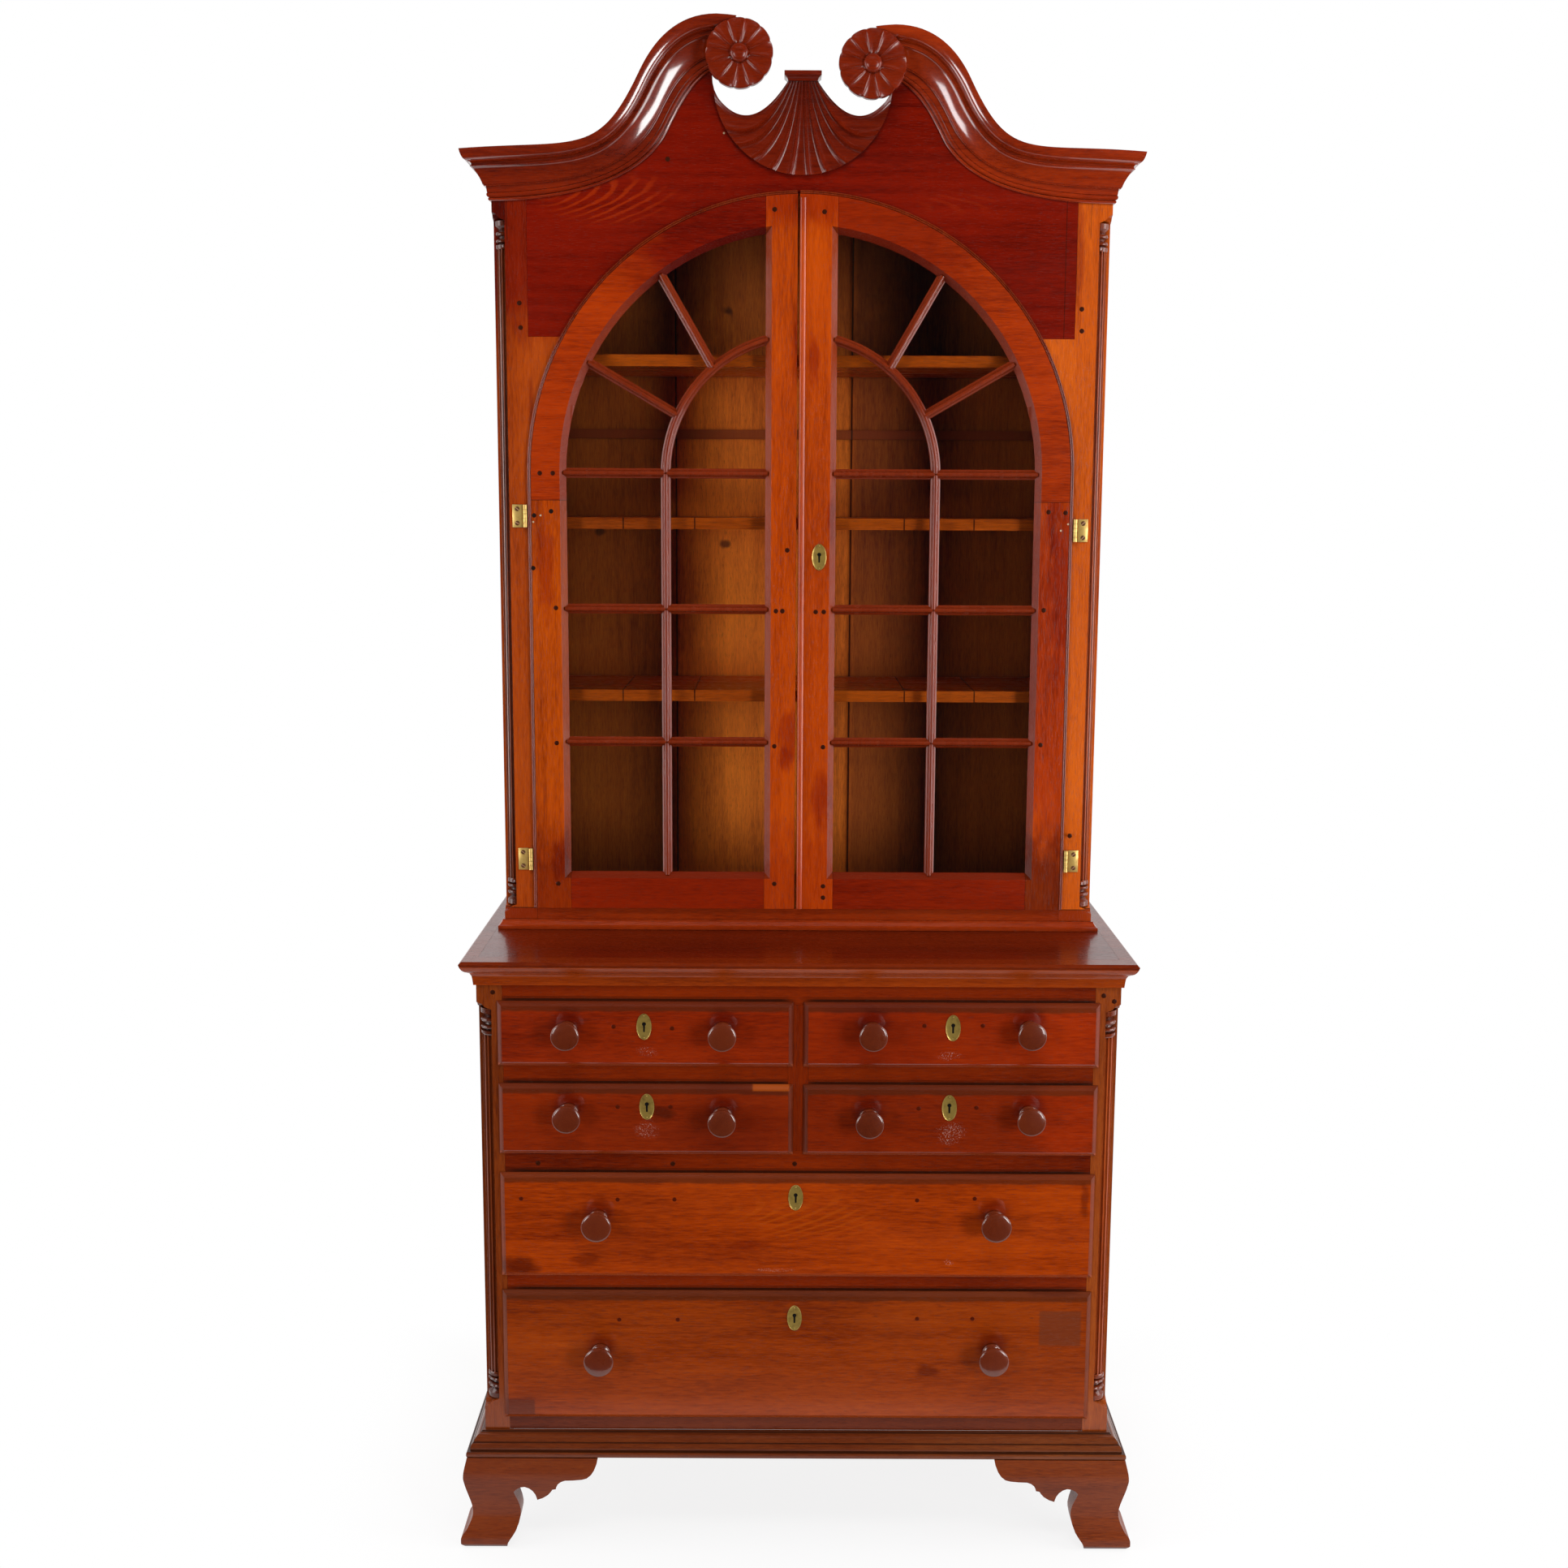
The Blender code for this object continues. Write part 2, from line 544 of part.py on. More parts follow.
def feet(chest):
    high = FOOT_HEIGHT
    ogee = smooth_line([
        (0.85 * FOOT_TOE, 0.0), (FOOT_TOE, 0.05 * high), (0.965 * FOOT_TOE, 0.127 * high),
        (0.74 * FOOT_TOE, 0.197 * high), (FOOT_WAIST, 0.37 * high), (0.93 * FOOT_BULGE, 0.69 * high),
        (FOOT_BULGE, 0.82 * high), (0.83 * FOOT_BULGE, high),
    ], 2)
    section = [*ogee, (-FOOT_SEAT, high), (-FOOT_SEAT, 0.0)]
    tail = FOOT_WING + FOOT_SEAT
    outline = bracket_outline()
    near, far = CHEST_HALF - FOOT_SEAT - OVERCUT, CHEST_HALF + FOOT_TOE + OVERCUT
    heel = FOOT_WAIST / 2
    brace = [(heel, REAR_BRACE_INSET), (-0.4 * REAR_BRACE_LENGTH, REAR_BRACE_INSET)]
    brace += [(-REAR_BRACE_LENGTH, 0.7 * high), (-REAR_BRACE_LENGTH, high - REAR_BRACE_INSET)]
    brace += [(heel, high - REAR_BRACE_INSET)]
    brace_back = CHEST_DEPTH - REAR_BRACE_INSET
    for word, side in SIDES.items():
        front = [(CHEST_HALF - tail, -p, z) for p, z in section]
        corner = [(CHEST_HALF + p, -p, z) for p, z in section]
        flank = [(CHEST_HALF + p, tail, z) for p, z in section]
        foot = piece(f"front_foot_{word}", chest, DARK_WOOD, handed(lofted([front, corner, flank]), side))
        shape(foot, "DIFFERENCE", "front_scroll", handed(along_y(
            [(CHEST_HALF - u, z) for u, z in outline], -FOOT_TOE - OVERCUT, FOOT_SEAT + OVERCUT), side))
        shape(foot, "DIFFERENCE", "side_scroll", handed(along_x(outline, near, far), side))

        start = [(CHEST_HALF + p, CHEST_DEPTH - tail, z) for p, z in section]
        end = [(CHEST_HALF + p, CHEST_DEPTH, z) for p, z in section]
        foot = piece(f"rear_foot_{word}", chest, DARK_WOOD, handed(lofted([start, end]), side))
        shape(foot, "DIFFERENCE", "side_scroll", handed(
            along_x([(CHEST_DEPTH - u, z) for u, z in outline], near, far), side))
        shape(foot, "UNION", "brace", handed(along_y(
            [(CHEST_HALF + p, z) for p, z in brace], brace_back - REAR_BRACE_THICK, brace_back), side))


def drawer(chest, name, middle, half, level, row, knob_radius, spread):
    # One drawer: a lipped front with two turned knobs, and the box behind it.
    carrier = group(f"{name}_slide", (middle, 0, level), chest)
    body_half = half - SLIDE
    low, high = level + RUNNER_GAP, level + row - SLIDE
    lip_half = half + DRAWER_LIP
    lip_low, lip_high = level - DRAWER_LIP, level + row + DRAWER_LIP

    def rectangle(reach, bottom, top, y):
        left, right = middle - reach, middle + reach
        return [(left, y, bottom), (right, y, bottom), (right, y, top), (left, y, top)]

    def lip(inset, y):
        return rectangle(lip_half - inset, lip_low + inset, lip_high - inset, y)

    front = piece(f"{name}_front", carrier, MAHOGANY, lofted([
        lip(LIP_EDGE, -LIP_PROUD),
        lip(0.4 * LIP_EDGE, -0.85 * LIP_PROUD),
        lip(0.0, -0.45 * LIP_PROUD),
        lip(0.0, -LIP_GAP),
        rectangle(body_half, low, high, -LIP_GAP),
        rectangle(body_half, low, high, FRONT_DEEP),
    ]))
    knob = [(0.78, 0.48), (1.0, 0.68), (0.96, 0.84), (0.72, 0.95), (0.2, 1.0)]
    profile = [(KNOB_NECK, -LIP_PROUD / 2), (KNOB_NECK, 0.24 * KNOB_LENGTH)]
    profile += scaled(knob, knob_radius, KNOB_LENGTH)
    for word, side in SIDES.items():
        centre = (middle + side * spread, -LIP_PROUD, level + row / 2 + KNOB_RISE)
        shape(front, "UNION", f"knob_{word}", turned(profile, centre))

    start = FRONT_DEEP + GAP
    rim = high - DRAWER_TOP_ROOM
    inside = body_half - DRAWER_SIDE
    box = piece(f"{name}_box", carrier, PINE, block(
        middle - body_half, middle + body_half, start, DRAWER_LENGTH, low, rim))
    shape(box, "DIFFERENCE", "inside", block(
        middle - inside, middle + inside, start - OVERCUT, DRAWER_LENGTH - DRAWER_SIDE,
        low + DRAWER_BOTTOM, rim + OVERCUT))


def drawers(chest):
    half_divider = DIVIDER_WIDTH / 2
    short = (DRAWER_HALF - half_divider) / 2
    offset = half_divider + short
    for word, side in SIDES.items():
        for row_name, level, row in (("top", LEVEL_TOP, ROW_TOP), ("second", LEVEL_SECOND, ROW_SECOND)):
            name = f"{row_name}_drawer_{word}"
            drawer(chest, name, side * offset, short, level, row, KNOB_RADIUS, KNOB_SPREAD)
    for row_name, level, row in (("third", LEVEL_THIRD, ROW_THIRD), ("bottom", LEVEL_BOTTOM, ROW_BOTTOM)):
        name = f"{row_name}_drawer"
        drawer(chest, name, 0.0, DRAWER_HALF, level, row, KNOB_RADIUS_LONG, KNOB_SPREAD_LONG)


def bookcase_case(bookcase):
    waist = [(1.0, 0.0), (1.0, 0.35), (0.72, 0.45), (0.38, 0.80), (0.30, 1.0)]
    rings = []
    for out, z in scaled(waist, WAIST_OUT, WAIST_HEIGHT):
        edge = BOOK_HALF + out
        rings.append([(-edge, BOOK_DEPTH, z), (-edge, -out, z), (edge, -out, z), (edge, BOOK_DEPTH, z)])
    base = piece("bookcase_base", bookcase, MAHOGANY, lofted(rings))
    front, behind, step = OPENING - GAP, BOOK_INNER - GAP, STILE_DEPTH + GAP
    floor = both_halves([(front, 0), (front, step), (behind, step), (behind, BOOK_BACK_FACE - GAP)])
    shape(base, "UNION", "floor", along_z(floor, 0.7 * WAIST_HEIGHT, FLOOR))

    foot = WAIST_HEIGHT + GAP
    inner = [(BOOK_INNER, CASE_RISE)]
    for rise in reversed(SHELVES.values()):
        top, under = FLOOR + rise + GAP, FLOOR + rise - SHELF_THICK - GAP
        groove = BOOK_INNER + DADO
        inner += [(BOOK_INNER, top), (groove, top), (groove, under), (BOOK_INNER, under)]
    outline = [(BOOK_HALF, foot), (BOOK_HALF, CASE_RISE), *inner, (BOOK_INNER, foot)]
    shoulder = math.asin(TYMPANUM_RISE / OPENING)
    stile = [(BOOK_HALF, foot), (BOOK_HALF, CASE_RISE), (OPENING, CASE_RISE)]
    stile += [(OPENING, TYMPANUM_BOTTOM - GAP)]
    stile += arc((0, SPRING), OPENING, shoulder - 2 * GAP, 0.0, ARC_STEPS // 2)
    stile += [(OPENING, foot)]
    low, high = WAIST_HEIGHT + BOOK_COLUMN_FOOT, CORNICE_BOTTOM - BOOK_COLUMN_HEAD
    for word, side in SIDES.items():
        piece(f"bookcase_side_{word}", bookcase, DARK_WOOD,
              handed(along_y(outline, STILE_DEPTH + GAP, BOOK_DEPTH), side))
        post = piece(f"bookcase_stile_{word}", bookcase, LIGHT_WOOD,
                     handed(along_y(stile, 0, STILE_DEPTH), side))
        shape(post, "DIFFERENCE", "notch", handed(corner_notch(BOOK_HALF, BOOK_NOTCH, low, high), side))
        piece(f"bookcase_column_{word}", bookcase, DARK_WOOD, handed(
            quarter_column(BOOK_HALF, BOOK_NOTCH, BOOK_COLUMN_RADIUS, low, high), side), round_edges=40)

    lid = both_halves([(front, TYMPANUM_THICK + GAP), (front, step), (behind, step), (behind, BOOK_DEPTH)])
    piece("bookcase_top", bookcase, PINE, along_z(lid, TOP_UNDER, TOP_UNDER + TOP_BOARD))
    end = BOOK_INNER + DADO - GAP
    for word, rise in SHELVES.items():
        piece(f"shelf_{word}", bookcase, LIGHT_WOOD, block(
            -end, end, SHELF_FRONT, BOOK_BACK_FACE - GAP, FLOOR + rise - SHELF_THICK, FLOOR + rise))

    # Three upright back boards, read as one sheet with a V joint at each seam, and the batten across them.
    sheet = [(-behind, BOOK_BACK_FACE), (-behind, BOOK_DEPTH), (behind, BOOK_DEPTH), (behind, BOOK_BACK_FACE)]
    for x in (BACK_SEAM_RIGHT, -BACK_SEAM_LEFT):
        bottom = BOOK_BACK_FACE + SEAM_DEPTH
        sheet += [(x + SEAM_DEPTH, BOOK_BACK_FACE), (x, bottom), (x - SEAM_DEPTH, BOOK_BACK_FACE)]
    back = piece("bookcase_back", bookcase, PINE, along_z(sheet, WAIST_HEIGHT + GAP, TOP_UNDER - GAP))
    batten = FLOOR + BATTEN_RISE
    shape(back, "UNION", "batten", block(
        -behind, behind, BOOK_BACK_FACE - BATTEN_THICK, BOOK_BACK_FACE + BACK_THICK / 2,
        batten, batten + BATTEN_HEIGHT))


def neck_curves(rosette):
    # Upper and lower edge of a swan neck on the right-hand side, from the corner to behind its rosette.
    x, z = rosette[0], CROWN + rosette[1]
    r = ROSETTE_RADIUS
    start, crest = (BOOK_HALF + CORNICE_OUT, CORNICE_TOP), (x + 0.66 * r, z + 1.09 * r)
    span, climb = start[0] - crest[0], crest[1] - start[1]
    bend = (start[0] - 0.70 * span, start[1] + 0.57 * climb)
    steep = math.radians(180 - 63.5)
    upper = swing(start, math.radians(175.5), 0.47 * span, bend, steep, 0.36 * span, 9)
    upper += swing(bend, steep, 0.085 * span, crest, math.pi, 0.18 * span, 6)[1:]
    upper += [(x + 0.34 * r, z + 1.07 * r), (x + 0.08 * r, z + 1.04 * r)]

    start, finish = (BOOK_HALF, CORNICE_BOTTOM), (x + r, z - 0.43 * r)
    span, climb = start[0] - finish[0], finish[1] - start[1]
    bend = (start[0] - 0.82 * span, start[1] + 0.55 * climb)
    steep = math.radians(180 - 63)
    lower = swing(start, math.pi, 0.335 * span, bend, steep, 0.255 * span, 9)
    lower += swing(bend, steep, 0.15 * span, finish, math.radians(180 - 38), 0.09 * span, 6)[1:]
    lower += [(x + 0.79 * r, z - 0.30 * r), (x + 0.55 * r, z - 0.16 * r)]
    return upper, lower


def pediment(bookcase):
    # Cornice section: share of its height, and how far it stands out.
    section = [(0.0, 0.03), (0.03, 0.07), (0.13, 0.16), (0.21, 0.225), (0.30, 0.24), (0.32, 0.30)]
    section += [(0.44, 0.335), (0.567, 0.42), (0.68, 0.54), (0.735, 0.63), (0.75, 0.775), (0.87, 0.82)]
    section += [(0.89, 0.89), (0.95, 0.985), (1.0, 1.0)]
    section = [(0.0, GAP), *[(h, CORNICE_OUT * out) for h, out in section], (1.0, GAP)]
    board_share = 0.7  # of the neck's height that the tympanum stands behind
    rosettes = {"left": ROSETTE_LEFT, "right": ROSETTE_RIGHT}
    outlines = {}
    for word, side in SIDES.items():
        upper, lower = neck_curves(rosettes[word])
        centre = (rosettes[word][0], 0.0, CROWN + rosettes[word][1])
        level = [CORNICE_BOTTOM + CORNICE_HEIGHT * h for h, _ in section]
        flank = [(BOOK_HALF + out, BOOK_DEPTH, z) for (_, out), z in zip(section, level)]
        mitre = [(BOOK_HALF + out, -out, z) for (_, out), z in zip(section, level)]
        rings = [flank, mitre]
        for (ux, uz), (lx, lz) in zip(upper[1:], lower[1:]):
            rings.append([(lx + (ux - lx) * h, -out, lz + (uz - lz) * h) for h, out in section])
        cornice = piece(f"cornice_{word}", bookcase, DARK_WOOD, handed(lofted(rings), side), round_edges=35)
        shape(cornice, "DIFFERENCE", "rosette_seat", handed(rosette_seat(centre), side))
        piece(f"rosette_{word}", bookcase, MAHOGANY, handed(rosette(centre), side), round_edges=30)
        outlines[word] = [
            (lx + board_share * (ux - lx), lz + board_share * (uz - lz)) for (ux, uz), (lx, lz) in zip(upper, lower)]

    shoulder = OPENING * math.cos(math.asin(TYMPANUM_RISE / OPENING))
    turn = math.atan2(TYMPANUM_RISE, shoulder)
    edge = OPENING - GAP
    halves = {}
    for word, side in SIDES.items():
        half = [(shoulder, TYMPANUM_BOTTOM), (edge, TYMPANUM_BOTTOM)]
        half += [(edge, CORNICE_BOTTOM + board_share * CORNICE_HEIGHT)]
        half += [point for point in outlines[word] if point[0] < edge - GAP]
        half += [(SCROLL_OPENING[0], CAP_BOTTOM - GAP)]
        halves[word] = [(side * x, z) for x, z in half]
    line = [*halves["right"], *reversed(halves["left"])]
    line += arc((0, SPRING), OPENING, math.pi - turn, turn, 2 * ARC_STEPS)[1:-1]
    board = piece("tympanum", bookcase, DARK_WOOD, along_y(line, 0, TYMPANUM_THICK))
    centre = (SCROLL_OPENING[0], 0.0, CROWN + SCROLL_OPENING[1])
    bore = [(SCROLL_OPENING_RADIUS, -TYMPANUM_THICK - OVERCUT), (SCROLL_OPENING_RADIUS, OVERCUT)]
    for word, side in SIDES.items():
        shape(board, "DIFFERENCE", f"opening_{word}", handed(turned(bore, centre, ROUND_STEPS), side))
    shell(bookcase)


def rosette_seat(centre):
    # The stepped clearance that a rosette's hub and disc stand in.
    hub, disc = ROSETTE_HUB + GAP, ROSETTE_RADIUS + GAP
    step, front = ROSETTE_STAND - GAP, 2 * CORNICE_OUT
    return turned([(hub, -TYMPANUM_THICK), (hub, step), (disc, step), (disc, front)], centre, ROUND_STEPS)


def rosette(centre):
    # A disc carved into petals round a button, on a hub that reaches back to the tympanum.
    r, t = ROSETTE_RADIUS, ROSETTE_THICK
    x, y, z = centre
    carved = [(r, 0.0, 0.0), (r, 0.78 * t, 0.0), (0.97 * r, t, 1.0), (0.62 * r, 1.08 * t, 0.8), (0.31 * r, t, 0.3)]
    button = [(0.27, 0.92), (0.26, 1.16), (0.17, 1.36), (0.05, 1.44)]
    levels = [(ROSETTE_HUB, GAP, 0.0), (ROSETTE_HUB, ROSETTE_STAND, 0.0)]
    levels += [(radius, ROSETTE_STAND + out, PETAL_DEPTH * share) for radius, out, share in carved]
    levels += [(radius * r, ROSETTE_STAND + out * t, 0.0) for radius, out in button]
    rings = []
    for radius, out, depth in levels:
        ring = []
        for spoke in range(2 * PETALS):
            angle = math.pi * spoke / PETALS
            back = depth if spoke % 2 else 0.0
            ring.append((x + radius * math.cos(angle), y - out + back, z + radius * math.sin(angle)))
        rings.append(ring)
    return lofted(rings)


def shell(bookcase):
    # A fan of flutes that leaves the neck under the cap and flares to a round lower edge.
    neck = 0.95 * (SCROLL_OPENING[0] - SCROLL_OPENING_RADIUS)
    root = CAP_BOTTOM + OVERCUT
    tip = math.radians(7)
    columns, rows = 2 * SHELL_FLUTES, 5
    waist = Vector((SCROLL_OPENING[0], CROWN + SCROLL_OPENING[1] - SCROLL_OPENING_RADIUS - OVERCUT))
    rim = Vector((SHELL_RADIUS * math.cos(tip), CAP_BOTTOM - SHELL_RADIUS * math.sin(tip)))
    pull = 2 * waist - 0.5 * (Vector((neck, root)) + rim)
    rings = []
    for row in range(rows + 1):
        s = row / rows
        face, back = [], []
        for column in range(columns + 1):
            share = 2 * column / columns - 1
            angle = -math.pi / 2 + share * (math.pi / 2 - tip)
            start = Vector((share * neck, root))
            bend = Vector((share * pull.x, pull.y))
            end = Vector((SHELL_RADIUS * math.cos(angle), CAP_BOTTOM + SHELL_RADIUS * math.sin(angle)))
            point = (1 - s) ** 2 * start + 2 * s * (1 - s) * bend + s * s * end
            ridge = 0.0 if column % 2 else FLUTE_RIDGE * (0.4 + 0.6 * s)
            face.append((point.x, -SHELL_THICK - ridge, point.y))
            back.append((point.x, -GAP, point.y))
        rings.append([*face, *reversed(back)])
    fan = piece("shell", bookcase, MAHOGANY, lofted(rings))
    rings = []
    for rise, share in ((0.0, 0.80), (0.35, 0.86), (0.55, 1.0), (1.0, 1.0)):
        half, out, z = CAP_HALF * share, CAP_OUT * share, CAP_BOTTOM + CAP_HEIGHT * rise
        rings.append([(-half, -out, z), (half, -out, z), (half, TYMPANUM_THICK, z), (-half, TYMPANUM_THICK, z)])
    shape(fan, "UNION", "cap", lofted(rings))


def door_loop(edge, meeting, sill, y):
    # Outline of one arched half: outer edge, meeting edge, lower edge.
    top = math.acos(meeting / edge)
    line = [(edge, sill), (edge, SPRING), *arc((0, SPRING), edge, 0.0, top)[1:], (meeting, sill)]
    return [(x, y, z) for x, z in line]


def bar(path, lift):
    # A glazing bar along a path, wide at the glass and narrow at the face.
    front, back = BAR_SET - DOOR_PROUD + lift, GLASS_FACE - GAP - lift
    half_front, half_back = BAR_FRONT / 2, BAR_BACK / 2
    section = [(half_back, back), (half_front, front), (-half_front, front), (-half_back, back)]
    rings = []
    for here, point in enumerate(path):
        before, after = Vector(path[max(here - 1, 0)]), Vector(path[min(here + 1, len(path) - 1)])
        along = (after - before).normalized()
        across = Vector((-along.y, along.x))
        spots = [(Vector(point) + reach * across, y) for reach, y in section]
        rings.append([(spot.x, y, spot.y) for spot, y in spots])
    return lofted(rings)


def door(bookcase, word, side, meeting):
    pivot = group(f"door_{word}_axis", (side * AXIS_X, AXIS_Y, 0), bookcase)

    def opening(grow, y):
        return door_loop(GLASS_EDGE + grow, MEETING_OPENING - grow, GLASS_SILL - grow, y)

    def outer(y):
        return door_loop(DOOR_BODY, meeting, DOOR_BOTTOM, y)

    frame = piece(f"door_frame_{word}", pivot, LIGHT_WOOD, handed(lofted([
        outer(-DOOR_PROUD), outer(DOOR_BACK), opening(REBATE, DOOR_BACK), opening(REBATE, GLASS_FACE),
        opening(0.0, GLASS_FACE), opening(0.0, OVOLO - DOOR_PROUD), opening(OVOLO, -DOOR_PROUD),
    ], closed=True), side))
    # The lip that laps the case runs up the hinge side and round the arch.
    root = 0.6 * FRAME_STILE
    lip = [(DOOR_EDGE - root, -0.8 * DOOR_PROUD), (DOOR_EDGE - 0.3 * DOOR_LIP, -0.75 * DOOR_PROUD)]
    lip += [(DOOR_EDGE, -0.4 * DOOR_PROUD), (DOOR_EDGE, -LIP_GAP), (DOOR_EDGE - root, -LIP_GAP)]
    runs = [door_loop(edge, meeting + LIP_GAP, DOOR_BOTTOM + LIP_GAP, y)[:-1] for edge, y in lip]
    shape(frame, "UNION", "lip", handed(lofted([list(station) for station in zip(*runs)]), side))
    if word == "right":
        # The closing bead stands on the meeting edge and laps the other door.
        middle, half = meeting + BEAD_WIDTH / 2, BEAD_WIDTH / 2 - GAP
        swell = arc((0.0, 0.0), 1.0, 0.0, math.pi, 6)
        bead = [(middle + half * x, -DOOR_PROUD - BEAD_PROUD * out) for x, out in swell]
        bead += [(middle - half, OVOLO - DOOR_PROUD), (middle + half, OVOLO - DOOR_PROUD)]
        shape(frame, "UNION", "bead", along_z(bead, DOOR_BOTTOM + LIP_GAP, CROWN - DOOR_PLAY - OVOLO))

    inset = REBATE - GLASS_PLAY
    sheet = [opening(inset, GLASS_FACE + GAP), opening(inset, GLASS_FACE + GAP + GLASS_THICK)]
    piece(f"door_glass_{word}", pivot, GLASS, handed(lofted(sheet), side))

    middle = (GLASS_EDGE + MEETING_OPENING) / 2
    row = (SPRING - GLASS_SILL) / PANE_ROWS
    upright = [(middle, GLASS_SILL - BAR_TENON), (middle, SPRING)]
    upright += arc((0, SPRING), middle, 0.0, math.acos((MEETING_OPENING - BAR_TENON) / middle), ARC_STEPS // 2)[1:]
    bars = piece(f"glazing_bars_{word}", pivot, LIGHT_WOOD, handed(bar(upright, 0.0), side))
    for step in range(1, PANE_ROWS + 1):
        z = GLASS_SILL + step * row
        level = bar([(GLASS_EDGE + BAR_TENON, z), (MEETING_OPENING - BAR_TENON, z)], BAR_STEP)
        shape(bars, "UNION", f"level_{step}", handed(level, side))
    outer_turn, inner_turn = math.acos(MEETING_OPENING / GLASS_EDGE), math.acos(MEETING_OPENING / middle)
    for ray in range(1, FAN_PANES):
        share = ray / FAN_PANES
        ends = ((middle, inner_turn * share), (GLASS_EDGE + BAR_TENON, outer_turn * share))
        line = [(radius * math.cos(turn), SPRING + radius * math.sin(turn)) for radius, turn in ends]
        shape(bars, "UNION", f"ray_{ray}", handed(bar(line, 2 * BAR_STEP), side))
    trim = lofted([opening(-GAP, -2 * DOOR_PROUD), opening(-GAP, DOOR_BACK)])
    shape(bars, "INTERSECT", "trim", handed(trim, side))


def hinges(bookcase):
    heights = {
        "lower_hinge_left": (-1, HINGE_LOWER), "lower_hinge_right": (1, HINGE_LOWER),
        "upper_hinge_left": (-1, HINGE_UPPER_LEFT), "upper_hinge_right": (1, HINGE_UPPER_RIGHT),
    }
    barrel = arc((AXIS_X, AXIS_Y), BARREL_RADIUS, 0.0, 2 * math.pi, 12)[:-1]
    for name, (side, rise) in heights.items():
        low = FLOOR + rise - HINGE_HEIGHT / 2
        high = low + HINGE_HEIGHT
        knuckle = piece(name, bookcase, BRASS, handed(along_z(barrel, low, high), side), round_edges=40)
        shape(knuckle, "UNION", "leaf", handed(block(
            AXIS_X, AXIS_X + HINGE_LEAF, -GAP - HINGE_THICK, -GAP, low + GAP, high - GAP), side))


def build():
    for item in list(bpy.data.objects):
        bpy.data.objects.remove(item, do_unlink=True)
    chest = group("chest", (0, FACE_Y, 0))
    bookcase = group("bookcase", (0, FACE_Y + SETBACK, CHEST_HEIGHT + GAP))
    chest_case(chest)
    chest_rails(chest)
    chest_mouldings(chest)
    feet(chest)
    drawers(chest)
    bookcase_case(bookcase)
    pediment(bookcase)
    door(bookcase, "left", -1, MEETING_LEFT)
    door(bookcase, "right", 1, -MEETING_RIGHT)
    hinges(bookcase)


build()
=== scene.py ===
import math

import bmesh
import bpy
from mathutils import Matrix, Vector


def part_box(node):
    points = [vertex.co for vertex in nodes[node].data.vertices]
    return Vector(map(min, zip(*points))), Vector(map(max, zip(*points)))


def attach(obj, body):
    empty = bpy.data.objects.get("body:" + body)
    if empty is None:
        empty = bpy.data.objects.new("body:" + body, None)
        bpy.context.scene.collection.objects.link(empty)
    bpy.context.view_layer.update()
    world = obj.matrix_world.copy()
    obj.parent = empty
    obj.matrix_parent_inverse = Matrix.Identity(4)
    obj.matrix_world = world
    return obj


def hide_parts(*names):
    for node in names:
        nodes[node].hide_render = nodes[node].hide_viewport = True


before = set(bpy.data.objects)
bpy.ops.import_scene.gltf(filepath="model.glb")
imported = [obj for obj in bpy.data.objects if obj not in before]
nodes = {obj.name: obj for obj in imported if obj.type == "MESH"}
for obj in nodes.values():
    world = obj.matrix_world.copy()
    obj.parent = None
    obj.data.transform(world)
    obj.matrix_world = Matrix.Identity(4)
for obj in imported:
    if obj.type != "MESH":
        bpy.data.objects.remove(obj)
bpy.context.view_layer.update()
print("frame loaded,", len(nodes), "nodes")

# Camera: a 42 mm lens on a square 36 mm frame, chest high and looking slightly down
shot = {"place": (-0.0269, -2.9304, 1.6396), "yaw": 0.0606, "pitch": 8.8235, "roll": 0.2715,
        "focal": 2250.0, "frameSide": 1932.0, "sensor": 36.0}


def shotAxes():
    yaw, pitch, roll = (math.radians(shot[key]) for key in ("yaw", "pitch", "roll"))
    ahead = Vector((math.sin(yaw) * math.cos(pitch), math.cos(yaw) * math.cos(pitch), -math.sin(pitch)))
    right = Vector((math.cos(yaw), -math.sin(yaw), 0.0))
    up = right.cross(ahead)
    return right * math.cos(roll) + up * math.sin(roll), up * math.cos(roll) - right * math.sin(roll), ahead


def placeCamera():
    right, up, ahead = shotAxes()
    lens = bpy.data.cameras.new("camera")
    lens.sensor_width = shot["sensor"]
    lens.lens = shot["sensor"] * shot["focal"] / shot["frameSide"]
    camera = bpy.data.objects.new("camera", lens)
    bpy.context.scene.collection.objects.link(camera)
    turn = Matrix((right, up, -ahead)).transposed().to_4x4()
    camera.matrix_world = Matrix.Translation(shot["place"]) @ turn
    bpy.context.scene.camera = camera


def seenAt(across, down, y):
    # Where a spot of the photograph falls on the upright plane at this y, as (x, z)
    right, up, ahead = shotAxes()
    middle = shot["frameSide"] / 2
    ray = ahead + right * ((across - middle) / shot["focal"]) - up * ((down - middle) / shot["focal"])
    start = Vector(shot["place"])
    hit = start + ray * ((y - start.y) / ray.y)
    return hit.x, hit.z


placeCamera()
bpy.context.scene.view_settings.view_transform = "Standard"


